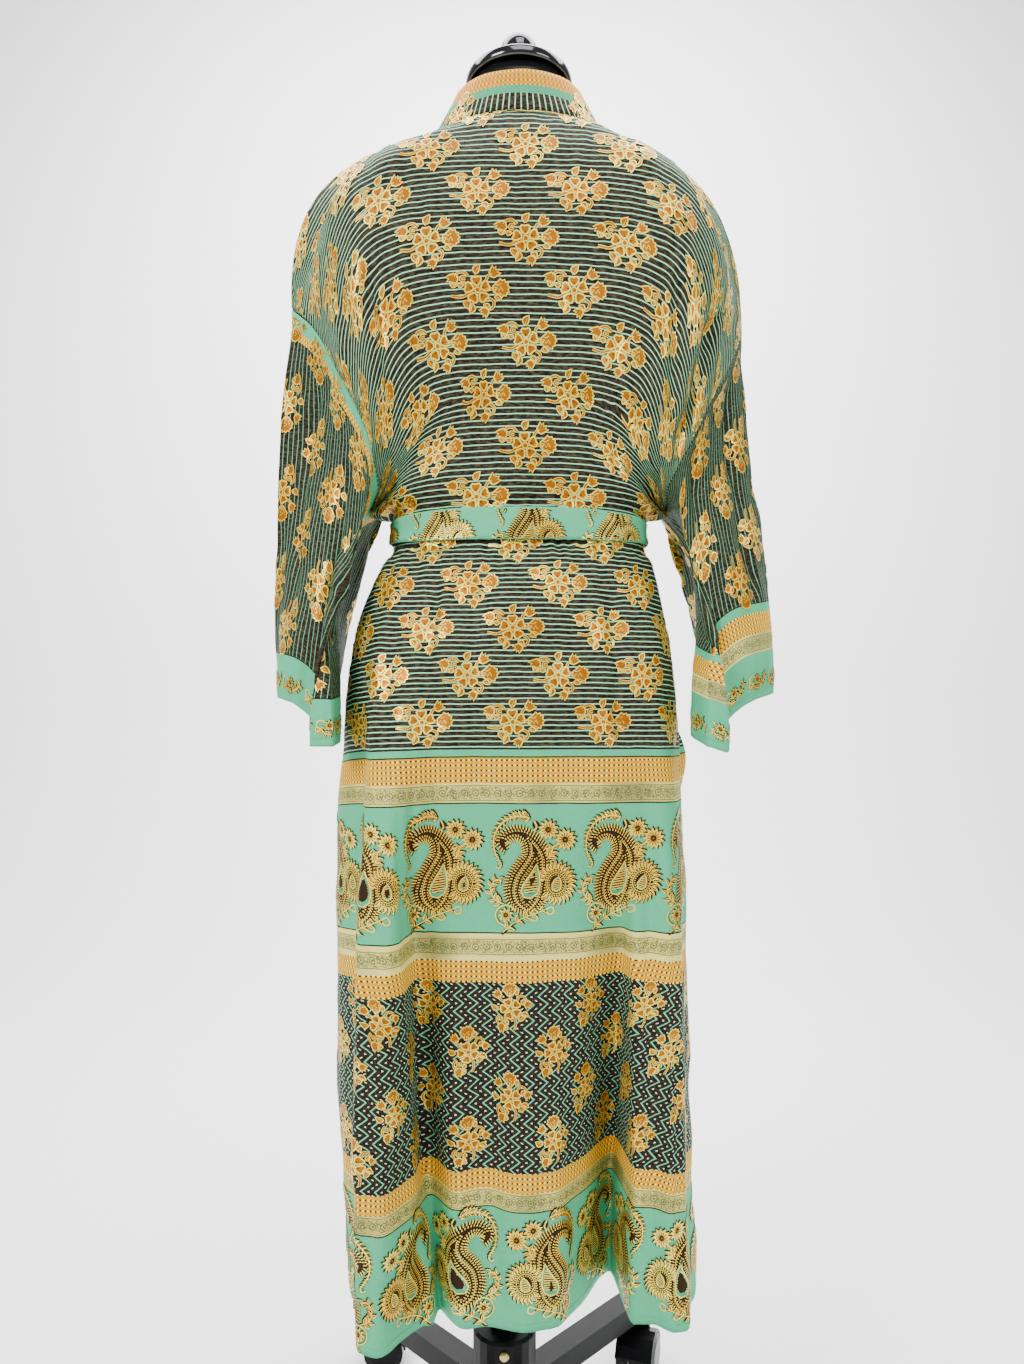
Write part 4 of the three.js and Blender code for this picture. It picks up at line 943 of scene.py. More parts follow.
class Graph:
    def __init__(self, name, roughness=0.7, metallic=0.0, shine=0.12):
        self.material = bpy.data.materials.new(name)
        self.material.use_nodes = True
        self.tree = self.material.node_tree
        self.shader = self.tree.nodes["Principled BSDF"]
        self.set("Roughness", roughness)
        self.set("Metallic", metallic)
        self.set("Specular IOR Level", shine)

    def feed(self, socket, value):
        if isinstance(value, Value):
            self.tree.links.new(value.socket, socket)
        else:
            socket.default_value = value

    def set(self, name, value):
        self.feed(self.shader.inputs[name], value)

    def math(self, kind, *values):
        node = self.tree.nodes.new("ShaderNodeMath")
        node.operation = kind
        for k, value in enumerate(values):
            self.feed(node.inputs[k], value)
        return Value(self, node.outputs[0])

    def uv(self, label="print"):
        # Cloth coordinates in millimetres.
        node = self.tree.nodes.new("ShaderNodeUVMap")
        node.uv_map = label
        self.place = Value(self, node.outputs[0])
        parts = self.tree.nodes.new("ShaderNodeSeparateXYZ")
        self.feed(parts.inputs[0], self.place)
        return Value(self, parts.outputs[0]) * 1000, Value(self, parts.outputs[1]) * 1000

    def objectPlace(self):
        node = self.tree.nodes.new("ShaderNodeTexCoord")
        return Value(self, node.outputs["Object"])

    def noise(self, scale, detail=2.0, place=None, stretch=(1, 1, 1)):
        shift = self.tree.nodes.new("ShaderNodeVectorMath")
        shift.operation = "MULTIPLY"
        self.feed(shift.inputs[0], place or self.place)
        shift.inputs[1].default_value = stretch
        node = self.tree.nodes.new("ShaderNodeTexNoise")
        self.tree.links.new(shift.outputs[0], node.inputs["Vector"])
        node.inputs["Scale"].default_value = scale
        node.inputs["Detail"].default_value = detail
        return Value(self, node.outputs["Fac"])

    def cells(self, scale):
        node = self.tree.nodes.new("ShaderNodeTexVoronoi")
        node.feature = "DISTANCE_TO_EDGE"
        self.feed(node.inputs["Vector"], self.place)
        node.inputs["Scale"].default_value = scale
        return Value(self, node.outputs["Distance"])

    def over(self, below, mask, above):
        node = self.tree.nodes.new("ShaderNodeMix")
        node.data_type = "RGBA"
        self.feed(node.inputs[0], mask)
        self.feed(node.inputs[6], below)
        self.feed(node.inputs[7], above)
        return Value(self, node.outputs[2])

    def bump(self, height, distance):
        node = self.tree.nodes.new("ShaderNodeBump")
        node.inputs["Distance"].default_value = distance
        node.inputs["Strength"].default_value = 1.0
        self.feed(node.inputs["Height"], height)
        self.set("Normal", Value(self, node.outputs[0]))


def stripes(g, v, period, width=0.55, colour="mint"):
    # Mint lines on a heathered dark ground.
    heather = g.noise(420, 3, stretch=(0.35, 1, 1))
    ground = g.over(paint["ground"], (heather - 0.42) * 3.2, paint["heather"])
    wander = (g.noise(60, 1) - 0.5) * 1.1
    line = (0.5 - (v + wander).wave(period)) * 3
    return g.over(ground, g.math("MAXIMUM", g.math("MINIMUM", line + width, 1), 0), paint[colour])


clothRoughness = 0.66
dots = {"pitch": 5.1, "speck": 1.0, "rim": 1.7, "middle": 1.3}
ribbon = {"width": 20, "blossoms": 11, "blossom": 5.2, "petals": 2.6, "margin": 3.4, "edge": 2.6}
zigzags = {"period": 15.7, "spacing": 14.1, "slope": 1.26, "line": 0.95, "dots": 3.925, "dot": 0.8}


def dotted(g, u, v):
    # An ochre ground with a grid of small pale dots, each with dark specks between.
    mottled = g.over(paint["yellow"], g.noise(300, 2) * 0.5, paint["ochre"])
    pitch = dots["pitch"]
    dark = g.math("MAXIMUM", (u + pitch / 2).wave(pitch), v.wave(pitch)) < dots["speck"]
    colour = g.over(mottled, dark, paint["spot"])
    ring = g.math("SQRT", u.wave(pitch) * u.wave(pitch) + v.wave(pitch) * v.wave(pitch))
    colour = g.over(colour, ring < dots["rim"], paint["ochre"])
    return g.over(colour, ring < dots["middle"], paint["cream"])


def zari(g, u, w):
    # A gold ribbon: a row of small round blossoms between plain edges. w is 0 at its middle.
    pitch, half = ribbon["blossoms"], ribbon["width"] / 2
    ring = g.math("SQRT", u.wave(pitch) * u.wave(pitch) + w * w)
    blossom = (g.math("SINE", ring * ribbon["petals"]) > 0.1) * (ring < ribbon["blossom"])
    scroll = g.cells(430) < 0.085
    inside = w.abs() < half - ribbon["margin"]
    flowered = g.math("MULTIPLY", g.math("MAXIMUM", blossom, scroll), inside)
    colour = g.over(paint["gold"], flowered * 0.9, paint["zari"])
    edge = (w.abs() - (half - ribbon["edge"])).abs() < 0.4
    shimmer = between(g, (g.noise(13, 1, stretch=(1, 0.3, 1)) - 0.5) * 3.6, 0.5)
    return g.over(g.over(colour, edge, paint["zari"]), shimmer, paint["zari"])


def zigzag(g, u, v):
    # Upright mint zigzags on the dark ground with white dots between.
    heather = g.noise(420, 2)
    ground = g.over(paint["ground"], (heather - 0.4) * 1.4, paint["heather"])
    spacing, up = zigzags["spacing"], v.wave(zigzags["dots"])
    across = u + v.wave(zigzags["period"]) * zigzags["slope"]
    colour = g.over(ground, across.wave(spacing) < zigzags["line"], paint["teal"])
    middle = (across + spacing / 2).wave(spacing)
    dot = g.math("SQRT", middle * middle + up * up) < zigzags["dot"]
    return g.over(colour, dot, paint["white"])


def plainGreen(g, detail=2, amount=0.16):
    return g.over(paint["green"], g.noise(500, detail) * amount, paint["mint"])


# Fine weave over slight crumpling.
def woven(g):
    g.bump(g.noise(700, 2) + g.noise(60, 2) * 1.6, 0.0006)
    return g.material


def between(g, value, high):
    return g.math("MINIMUM", g.math("MAXIMUM", value, 0), high)


beltLevel = 1034
# Heights of cloth, in millimetres, where each layer of the body's print starts, and of its lines.
bandEdges = (
    (342, "gold"), (361, "yellow"), (381, "zigzag"), (571, "yellow"), (593, "gold"), (621, "plain"),
    (750, "gold"), (770, "yellow"), (796, "plain"), (804, "striped"),
)
lineEdges = (342, 621, 750, 796, 804)


def bodyPrint():
    g = Graph("robePrint", roughness=clothRoughness)
    u, v = g.uv()
    above = v > beltLevel
    period = above * 0.8 + 5.3
    yellowMiddle = (v > 476) * 211 + (v > 690) * 200.5 + 371
    goldMiddle = (v > 476) * 255.5 + (v > 690) * 153 + 351.5
    layers = {
        "yellow": dotted(g, u, v - yellowMiddle), "gold": zari(g, u, v - goldMiddle),
        "striped": stripes(g, v - beltLevel, period), "zigzag": zigzag(g, u, v), "plain": plainGreen(g),
    }
    colour = layers["plain"]
    for edge, layer in bandEdges:
        colour = g.over(colour, v > edge, layers[layer])
    for edge in lineEdges:
        colour = g.over(colour, (v - edge).abs() < 0.7, paint["line"])
    # Painted shade: large soft patches darkened towards the ground colour.
    g.set("Base Color", g.over(colour, g.noise(9, 2) * 0.11, paint["ground"]))
    g.set("Metallic", ((v - goldMiddle).abs() < ribbon["width"] / 2) * 0.55)
    return woven(g)


def sleevePrint(side):
    # Lengthwise stripes; bands above the cuff, and on the left under the armhole seam too.
    g = Graph("leftSleevePrint" if side < 0 else "rightSleevePrint", roughness=clothRoughness)
    fromSeam = g.uv("edge")[1]
    u, v = g.uv()
    colour = stripes(g, u, 6.4, 0.0, "teal")
    plain = plainGreen(g)
    if side < 0:
        colour = g.over(colour, fromSeam < 25.5, dotted(g, u, fromSeam - 20.5))
        colour = g.over(colour, fromSeam < 15.5, plain)
        bands = ((48, plain),)
    else:
        bands = ((100, plain), (90, dotted(g, u, v - 79)), (68, zari(g, u, v - 58)), (48, plain))
    for edge, layer in bands:
        colour = g.over(colour, v < edge, layer)
    colour = g.over(colour, (v - bands[0][0]).abs() < 0.6, paint["line"])
    # Painted shade: large soft patches darkened towards the ground colour.
    g.set("Base Color", g.over(colour, g.noise(9, 2) * 0.1, paint["ground"]))
    return woven(g)


def bandPrint():
    g = Graph("neckbandPrint", roughness=clothRoughness)
    u, v = g.uv()
    colour = stripes(g, u, 5.9)
    plain = plainGreen(g)
    colour = g.over(colour, v > 18, g.over(plain, 0.3, paint["line"]))
    colour = g.over(colour, v > 27, g.over(dotted(g, u, v - 32.2), 0.5, paint["ochre"]))
    g.set("Base Color", colour)
    return woven(g)


def plainCloth(name):
    g = Graph(name, roughness=clothRoughness)
    g.uv()
    g.set("Base Color", plainGreen(g, 3, 0.22))
    return woven(g)


# How far the foil's glint is painted out at most and the paint shown there (a painted reflection), how
# strong its specks are and their paint.
glintAndSpecks = {"cream": (0.5, "yellow", 0.16, "ochre"), "other": (0.2, "brown", 0.4, "brown")}


def foil(name, colour, roughness, metallic):
    g = Graph(name, roughness=roughness, metallic=metallic)
    place = g.objectPlace()
    most, under, specks, dirt = glintAndSpecks["cream" if colour == "cream" else "other"]
    # Painted reflection: soft patches where the foil's glint is painted out, dimming the ink towards
    # the paint under it.
    paintedDimming = between(g, (g.noise(14, 1, place) - 0.48) * 5, most)
    paintedGlintColour = g.over(paint[colour], paintedDimming, paint[under])
    g.set("Base Color", g.over(paintedGlintColour, g.noise(600, 2, place) * specks, paint[dirt]))
    return g.material


def hard(name, colour, roughness, metallic=0.0, grain=0.02):
    # A hard surface with slight unevenness in its shine.
    g = Graph(name, metallic=metallic, shine=0.15)
    place = g.objectPlace()
    g.set("Base Color", colour)
    g.set("Roughness", g.noise(40, 3, place) * 0.12 + (roughness - 0.06))
    g.bump(g.noise(260, 2, place), grain * mm)
    return g.material


inks = [
    foil("foilOchre", "ochre", 0.4, 0.4), foil("foilCream", "cream", 0.38, 0.4),
    foil("foilBrown", "brown", 0.6, 0.0), foil("foilMint", "green", 0.6, 0.0),
]
cloths = {
    "body": bodyPrint(), "leftSleeve": sleevePrint(-1), "rightSleeve": sleevePrint(1),
    "band": bandPrint(), "belt": plainCloth("beltCloth"),
}
black = hard("formBlack", (0.006, 0.006, 0.007, 1), 0.3)
chrome = hard("chrome", (0.07, 0.07, 0.075, 1), 0.12, 1.0, 0.005)
brass = hard("brass", (0.72, 0.5, 0.2, 1), 0.28, 1.0)
standBlack = hard("standBlack", (0.005, 0.005, 0.006, 1), 0.42, 0.0, 0.05)
castorBlack = hard("castorBlack", (0.004, 0.004, 0.005, 1), 0.22)
print("materials ready")


# Back panel.
backCreases = (
    ([(-150, 1300), (-142, 1200), (-137, 1110), (-131, 1050)], -3.4, 5.0),
    ([(-182, 1195), (-162, 1132), (-147, 1070)], -3.5, 6.0),
    ([(214, 1270), (188, 1180), (160, 1112), (147, 1060)], -7.0, 7.0),
    ([(161, 1300), (157, 1200), (151, 1120), (140, 1050)], -3.2, 5.0),
    ([(180, 1255), (170, 1160), (154, 1085)], 3.0, 7.0),
    ([(-196, 1290), (-176, 1190), (-156, 1110)], 2.6, 8.0),
    ([(-112, 1430), (-148, 1340), (-165, 1240)], 2.4, 16.0),
    ([(120, 1430), (154, 1340), (172, 1250)], 2.4, 16.0),
    ([(-40, 1250), (-30, 1160), (-46, 1060)], -1.3, 14.0),
    ([(34, 1300), (48, 1180), (40, 1060)], -1.4, 13.0),
    ([(96, 1240), (104, 1150), (92, 1060)], -1.8, 9.0),
    ([(-92, 1200), (-86, 1120), (-96, 1056)], -1.6, 9.0),
    ([(-44, 1062), (-10, 1057), (30, 1062)], -2.4, 4.0),
    ([(-78, 990), (-90, 900), (-80, 800)], -2.6, 8.0),
    ([(-38, 1000), (-48, 880), (-40, 700)], -2.0, 13.0),
    ([(50, 1000), (58, 860), (44, 680)], -2.2, 14.0),
    ([(92, 980), (104, 880), (100, 790)], -3.0, 7.0),
    ([(128, 1000), (140, 900), (146, 790)], 2.4, 9.0),
    ([(-124, 1000), (-142, 900), (-150, 800)], 2.2, 9.0),
    ([(-32, 620), (-20, 420), (-34, 150)], -4.2, 18.0),
    ([(38, 660), (56, 450), (52, 150)], -3.2, 14.0),
    ([(-58, 560), (-62, 380), (-56, 150)], 3.0, 13.0),
    ([(-106, 820), (-100, 600), (-92, 150)], -3.0, 4.0),
    ([(-150, 760), (-158, 520), (-150, 150)], 2.4, 8.0),
    ([(122, 700), (128, 480), (124, 150)], 3.0, 8.0),
    ([(152, 640), (158, 420), (160, 150)], -2.6, 6.0),
)
frontCreases = (
    ([(-120, 1420), (-110, 1300), (-70, 1180), (-40, 1070)], -3.0, 8.0),
    ([(130, 1420), (112, 1300), (74, 1180), (44, 1070)], -3.0, 8.0),
    ([(-160, 1280), (-140, 1170), (-110, 1060)], -3.0, 7.0),
    ([(170, 1260), (146, 1150), (112, 1060)], -3.4, 7.0),
    ([(-90, 1000), (-96, 860), (-84, 640)], -2.8, 11.0),
    ([(-50, 990), (-60, 800), (-52, 500)], 2.4, 12.0),
    ([(60, 990), (72, 840), (62, 560)], -3.0, 12.0),
    ([(100, 990), (110, 820), (104, 560)], 2.4, 10.0),
    ([(84, 640), (92, 420), (84, 150)], -3.0, 12.0),
    ([(-70, 600), (-80, 400), (-70, 150)], -3.4, 13.0),
    ([(10, 700), (20, 460), (14, 150)], -2.6, 14.0),
    ([(140, 700), (150, 480), (146, 150)], -2.6, 7.0),
)


creaseGain = 1.7
gather = {"depth": 3.4, "reach": 150, "over": 62, "under": 105, "inside": 2, "behindBelt": 40}


# Short upright gathers over and under the belt, each its own length.
def gathers(x, z, seed):
    out = np.zeros(x.shape)
    dice = np.random.default_rng(seed)
    for way, start, longest in (
        (1, belt["high"] - gather["inside"], gather["over"]),
        (-1, belt["low"] + gather["inside"], gather["under"]),
    ):
        place = -gather["reach"]
        while place < gather["reach"]:
            place += dice.uniform(9, 21)
            width, length = dice.uniform(3.0, 5.5), dice.uniform(0.35, 1.0) * longest
            lean = place / gather["reach"] * dice.uniform(2, 16)
            s = np.clip((z - start) * way / length, 0, 1)
            trough = np.exp(-(((x - place - lean * s) / (width * (1 + s))) ** 2)) * (1 - s) ** 1.3
            out -= gather["depth"] * dice.uniform(0.4, 1) * trough * (
                (z - start) * way > -gather["behindBelt"]
            )
    return out


def crumple(x, z, seed):
    # Soft unevenness of hanging thin cloth.
    broad = 1.8 * smoothNoise(x, z, 52, seed)
    upright = 0.8 * smoothNoise(x * 1.7, z * 0.55, 15, seed + 1)
    small = 0.16 * smoothNoise(x, z, 6.5, seed + 2)
    return broad + upright + small


def creased(p, creases, seed, edgeFade, ring=False):
    n = gridNormals(p, ring)
    x, z = p[..., 0], p[..., 2]
    out = crumple(x, z, seed) + gathers(x, z, seed)
    for k, (path, depth, width) in enumerate(creases):
        out = out + crease(x, z, path, creaseGain * depth, width, seed + 11 * k)
    underBelt = ease((abs(z - (belt["low"] + belt["high"]) / 2) - 12) / 10)
    out = np.where(out > 0, out * mix(0.15, 1, underBelt), out * mix(0.5, 1, underBelt))
    return p + n * (out * edgeFade)[..., None]


back = {
    "rows": 204, "columns": 146, "neckFrom": 1440, "sinkFrom": 1380, "width": 760, "sideFade": 22,
    "topFade": 14, "seed": 3,
}


def backCloth():
    part = np.linspace(0, 1, back["columns"] + 1)
    points, run = bodyRows(fineLevels, -1)
    base = along(points, run, robe["seam"] + (run[:, -1:] - 2 * robe["seam"]) * part)
    x = base[-1, :, 0]
    want = -robe["neckBack"] * np.sqrt(np.clip(1 - (x / robe["neckHalf"]) ** 2, 0, None))
    near = np.flatnonzero(fineLevels >= back["neckFrom"])
    depth = np.array([np.interp(x, points[k, :, 0], points[k, :, 1]) for k in near])
    start = np.array([np.interp(want[j], depth[:, j], fineLevels[near]) for j in range(len(x))])
    levels = levelSteps(back["rows"])[:, None]
    sinkFrom = back["sinkFrom"]
    down = (levels - sinkFrom) / (robe["shoulder"] - sinkFrom)
    sunk = np.where(levels <= sinkFrom, levels, mix(sinkFrom, start[None, :], down))
    columns = range(len(x))
    p = np.stack(
        [
            np.stack([np.interp(sunk[:, j], fineLevels, base[:, j, c]) for j in columns], 1)
            for c in range(3)
        ],
        -1,
    )
    p[0, :, 1] -= robe["seam"]
    u, v = maps[-1].at(np.broadcast_to(part, p.shape[:2]), p[..., 2])
    side = np.minimum(part, 1 - part) * back["width"]
    fade = ease(side / back["sideFade"]) * ease(np.arange(len(p)) / back["topFade"])[:, None]
    return creased(p, backCreases, back["seed"], fade), u, v


# Rows of bunches on the body: number of the first row and the one after the last, level of row 0,
# step down, shift of even and odd rows, pitch, angle and scale.
bunches = (
    (-2, 8, 1416.7, 50.8, (6.0, 57.0), 101.5, 0.0, 1.0),
    (0, 5, 1017, 46.6, (-7.0, -52.5), 91, 0.0, 0.92),
    (0, 4, 546, 45, (-9.0, -52.0), 87, math.pi / 2, 0.77),
)
acrossBody = range(-5, 6)
bodyBunches = [
    (shifts[k % 2] + pitch * m, level - step * k, angle, scale, False)
    for first, after, level, step, shifts, pitch, angle, scale in bunches
    for k in range(first, after)
    for m in acrossBody
]
bodyPaisleys = [
    (shift + 92 * m, level, 0.0, scale, mirrored)
    for shift, level, scale, mirrored in ((11, 683, 1.0, False), (30, 284, 0.98, True))
    for m in acrossBody
]
bodyPrints = [("bouquet", bodyBunches), ("paisley", bodyPaisleys)]
drawn = {"bouquet": bouquet(), "paisley": paisley(), "cuff": cuffSpray()}


def lineFromEdge(p, n, distance, lift=0.45):
    # A line across a sheet, the same distance in from its last row everywhere.
    q, m = p[::-1], n[::-1]
    legs = np.linalg.norm(np.diff(q, axis=0), axis=2)
    run = np.concatenate((np.zeros((1, p.shape[1])), np.cumsum(legs, 0)))
    lifted = q + m * lift
    return np.array(
        [
            [np.interp(distance, run[:, j], lifted[:, j, k]) for k in range(3)]
            for j in range(p.shape[1])
        ]
    )


seamLines = []


def dress(
    name, node, p, u, v, material, prints, ring=False, second=None, sewn=8.0
):
    # Makes a sheet with what is printed on it, and lets it stand for its CAD node.
    obj = clothObject(name, p, u, v, ring, second=second)
    standIn(obj, node, material)
    wide = np.concatenate((p, p[:, :1]), 1) if ring else p
    n = gridNormals(p, ring)
    wideNormals = np.concatenate((n, n[:, :1]), 1) if ring else n
    surface = Surface(wide, wideNormals, u, v)
    seamLines.append(lineFromEdge(wide, wideNormals, sewn))
    for art, places in prints:
        layOn(f"{name}_{art}", surface, drawn[art], places)
    declareSheet(p, ring)


backPoints, backU, backV = backCloth()
dress(
    "back_cloth", "back_panel", backPoints, backU, backV, cloths["body"],
    bodyPrints,
)
print("back panel ready")


# Fronts.

# How far the left front lies under the right one.
def lapUnder(p):
    return (robe["lap"] * ease((p[..., 0] + 150) / 60) * ease((1330 - p[..., 2]) / 80))[..., None]


front = {
    "rows": 176, "columns": 80, "width": 420, "sideFade": 22, "lapStart": 6, "lapFade": 26,
    "topFade": 14, "seed": 40,
}


def frontCloth(side):
    levels = levelSteps(front["rows"])
    points, run = bodyRows(levels, 1)
    seam = lengthAtX(points, run, side * read(frontSeam, levels)["x"]) + side * robe["seam"]
    edge = run[:, -1] - robe["seam"] if side > 0 else np.full(len(levels), robe["seam"])
    first, last = (seam, edge) if side > 0 else (edge, seam)
    part = np.linspace(0, 1, front["columns"] + 1)
    lengths = mix(first[:, None], last[:, None], part)
    p = along(points, run, lengths)
    if side < 0:
        p = p - rowNormals(points, run, lengths, 1) * lapUnder(p)
    p[0, :, 1] += robe["seam"]
    u, v = maps[1].at(lengths / run[:, -1:], p[..., 2])
    outer = (1 - part if side > 0 else part) * front["width"]
    inner = (part if side > 0 else 1 - part) * front["width"]
    fade = ease(outer / front["sideFade"]) * ease((inner + front["lapStart"]) / front["lapFade"])
    fade = fade * ease(np.arange(len(p)) / front["topFade"])[:, None]
    p, u, v, fade = [values[:, ::-1] for values in (p, u, v, fade)]
    return creased(p, frontCreases, front["seed"] + side, fade), u, v


for side, name, node in (
    (-1, "left_front_cloth", "left_front"), (1, "right_front_cloth", "right_front"),
):
    p, u, v = frontCloth(side)
    dress(name, node, p, -u, v, cloths["body"], bodyPrints)
print("fronts ready")


# Sleeves.
sleeve = {
    "rings": 84, "columns": 130, "handle": 0.36, "spreadFrom": 0.72, "out": 0.62, "down": -0.78,
    "crumple": 1.2, "crease": 1.5, "seamFade": 6, "seed": 60, "creaseSeed": 80,
}


def sleeveCloth(side):
    rings, columns = sleeve["rings"], sleeve["columns"]
    w = np.arange(columns) / columns
    face = np.where(w < 0.5, -1, 1)
    turn = abs(1 - 2 * w)
    start = np.where((face < 0)[:, None], armholePoint(turn, side, -1), armholePoint(turn, side, 1))
    cuff = read(leftCuff if side < 0 else rightCuff, w)
    end = xyz(cuff["x"], cuff["y"], cuff["z"])
    span = np.linalg.norm(start - end, axis=1) * sleeve["handle"]
    level = mix(robe["shoulder"], robe["underarm"] + 0.01, turn)
    rows = [halfRow(level, side, f) for f in (-1, 1)]
    leave = [row[3] - row[2] for row in rows]
    leave = [way / np.linalg.norm(way, axis=1, keepdims=True) for way in leave]
    leave = np.where((face < 0)[:, None], leave[0], leave[1])
    spread = ease((turn - sleeve["spreadFrom"]) / (1 - sleeve["spreadFrom"]))[:, None]
    leave = mix(leave, np.array((side * sleeve["out"], 0, sleeve["down"])), spread)
    leave /= np.linalg.norm(leave, axis=1, keepdims=True)
    start = start + leave * 4 * robe["seam"]
    above = end.copy()
    above[:, 2] += span
    t = np.linspace(0, 1, rings)[:, None, None]
    p = bezier(start, start + leave * span[:, None], above, end, t)
    if side < 0:
        p = p[:, ::-1]
        w = w[::-1]
    closed = np.concatenate((p, p[:, :1]), 1)
    around = np.concatenate(
        (np.zeros((rings, 1)), np.cumsum(np.linalg.norm(np.diff(closed, axis=1), axis=2), 1)), 1
    )
    top = columns // 2
    around = around - around[:, top : top + 1]
    legs = np.linalg.norm(np.diff(closed, axis=0), axis=2)
    fromSeam = np.concatenate((np.zeros((1, columns + 1)), np.cumsum(legs, 0)))
    fromCuff = fromSeam[-1] - fromSeam
    return p, around, fromCuff, fromSeam


sleeveCreases = {
    -1: (
        ([(-90, 330), (-110, 200), (-100, 60), (-104, -60)], -5.0, 8.0),
        ([(-150, 300), (-180, 180), (-190, 60)], -4.0, 8.0),
        ([(-40, 380), (-64, 260), (-50, 120)], -3.2, 10.0),
        ([(60, 360), (50, 220), (70, 60)], -4.0, 10.0),
        ([(150, 300), (140, 160), (150, 20)], -4.0, 9.0),
        ([(-130, 380), (-60, 330), (10, 300)], 3.0, 9.0),
        ([(-230, 240), (-170, 160), (-120, 120)], -3.0, 7.0),
        ([(240, 240), (180, 160), (120, 120)], -3.0, 7.0),
        ([(-10, 240), (10, 120), (0, -60)], 2.6, 12.0),
    ),
    1: (
        ([(100, 340), (112, 210), (100, 70), (106, -60)], -5.0, 8.0),
        ([(160, 330), (186, 200), (176, 60)], -4.0, 8.0),
        ([(44, 400), (66, 270), (56, 120)], -3.2, 10.0),
        ([(-60, 360), (-50, 220), (-70, 60)], -4.0, 10.0),
        ([(-150, 300), (-140, 160), (-150, 20)], -4.0, 9.0),
        ([(180, 400), (90, 350), (10, 330)], -3.6, 7.0),
        ([(140, 430), (60, 390), (0, 360)], 3.0, 8.0),
        ([(230, 240), (170, 160), (120, 120)], -3.0, 7.0),
        ([(10, 240), (-10, 120), (0, -60)], 2.6, 12.0),
    ),
}


def sleeveFlowers(turn):
    places = []
    for k in range(-4, 5):
        shift = 30 if k % 2 == 0 else 79
        places += [(50.8 * k + 14, shift + 98 * m, turn, 0.96, False) for m in range(0, 5)]
    return places


for side, key, name, node in (
    (-1, "leftSleeve", "left_sleeve_cloth", "left_sleeve"),
    (1, "rightSleeve", "right_sleeve_cloth", "right_sleeve"),
):
    p, around, fromCuff, fromSeam = sleeveCloth(side)
    n = gridNormals(p, True)
    a, b = around[:, :-1], fromCuff[:, :-1]
    out = crumple(a, b, sleeve["seed"] + side) * sleeve["crumple"]
    for k, (path, depth, width) in enumerate(sleeveCreases[side]):
        out = out + crease(a, b, path, sleeve["crease"] * depth, width, sleeve["creaseSeed"] + 7 * k)
    fade = ease(np.arange(len(p)) / sleeve["seamFade"])[:, None]
    p = p + n * (out * fade)[..., None]
    cuffFlowers = [(18.0 + 36 * m, 16.0, 0.0, 1.0, False) for m in range(-12, 12)]
    low = 50 if side < 0 else 102
    flowers = [f for f in sleeveFlowers(-math.pi / 2) if f[1] > low + 22]
    dress(
        name, node, p, around, fromCuff, cloths[key],
        [("bouquet", flowers), ("cuff", cuffFlowers)], ring=True, second=(around, fromSeam),
    )
print("sleeves ready")


# Neckband.
neckband = {
    "width": 44.0, "thickness": 2.2, "rows": 190, "lines": 10, "roundSteps": 54, "onSeam": 0.45,
    "standFrom": 1370, "smoothing": 6, "pitch": 101,
}


def bandOnFront(side, levels, across):
    points, run = bodyRows(levels, 1)
    seam = lengthAtX(points, run, side * read(frontSeam, levels)["x"]) - side * neckband["onSeam"]
    lengths = seam[:, None] - side * across
    lying = along(points, run, lengths)
    if side < 0:
        lying = lying - rowNormals(points, run, lengths, 1) * lapUnder(lying)
    standing = np.array((-side * 24.0, 0, 38.0))
    standing /= np.linalg.norm(standing)
    up = lying[:, :1] + standing * across[None, :, None]
    standFrom = neckband["standFrom"]
    stand = ease((levels - standFrom) / (robe["shoulder"] - standFrom))
    return mix(lying, up, stand[:, None, None])


def bandRoundNeck(across):
    turn = math.pi * np.arange(1, neckband["roundSteps"]) / neckband["roundSteps"]
    c, s = np.cos(turn), np.sin(turn)
    x = robe["neckHalf"] * c
    edgeLine = backPoints[0]
    root = np.stack([np.interp(x, edgeLine[:, 0], edgeLine[:, k]) for k in range(3)], 1)
    root[:, 0] = x
    root[:, 2] += 7 * robe["seam"]
    root[:, 1] += robe["seam"] * s
    edge = xyz(70 * c, -66 * s, 1514 - 4 * s)
    return mix(root[:, None], edge[:, None], (across / neckband["width"])[None, :, None])


across = np.linspace(0, neckband["width"], neckband["lines"])
bandLevels = levelSteps(neckband["rows"])
rightFront, leftFront = bandOnFront(1, bandLevels[::-1], across), bandOnFront(-1, bandLevels, across)
p = np.concatenate((rightFront, bandRoundNeck(across), leftFront))
for _ in range(neckband["smoothing"]):
    p[1:-1] = (p[:-2] + 2 * p[1:-1] + p[2:]) / 4
p = p[:, ::-1]
u = runOf(p[:, 5])
u = np.broadcast_to((u - u[-1] / 2)[:, None], p.shape[:2])
v = np.broadcast_to(across[::-1], p.shape[:2])
n = gridNormals(p)
ripple = 0.5 * smoothNoise(u, v, 34, 5) + 0.35 * smoothNoise(u, v, 12, 6)
p = p + n * ripple[..., None]
band = clothObject("neckband_cloth", p, u, v, thickness=neckband["thickness"])
standIn(band, "neckband", cloths["band"])
bandSurface = Surface(p.swapaxes(0, 1), n.swapaxes(0, 1), u.T, v.T)
bandFlowers = [
    (side * (70 + neckband["pitch"] * m), 4.0, math.pi / 2, 0.8, False)
    for side in (-1, 1)
    for m in range(14)
]
bandArt = layOn("neckband_bouquet", bandSurface, drawn["bouquet"], bandFlowers)
declareSheet(p)
print("neckband ready")


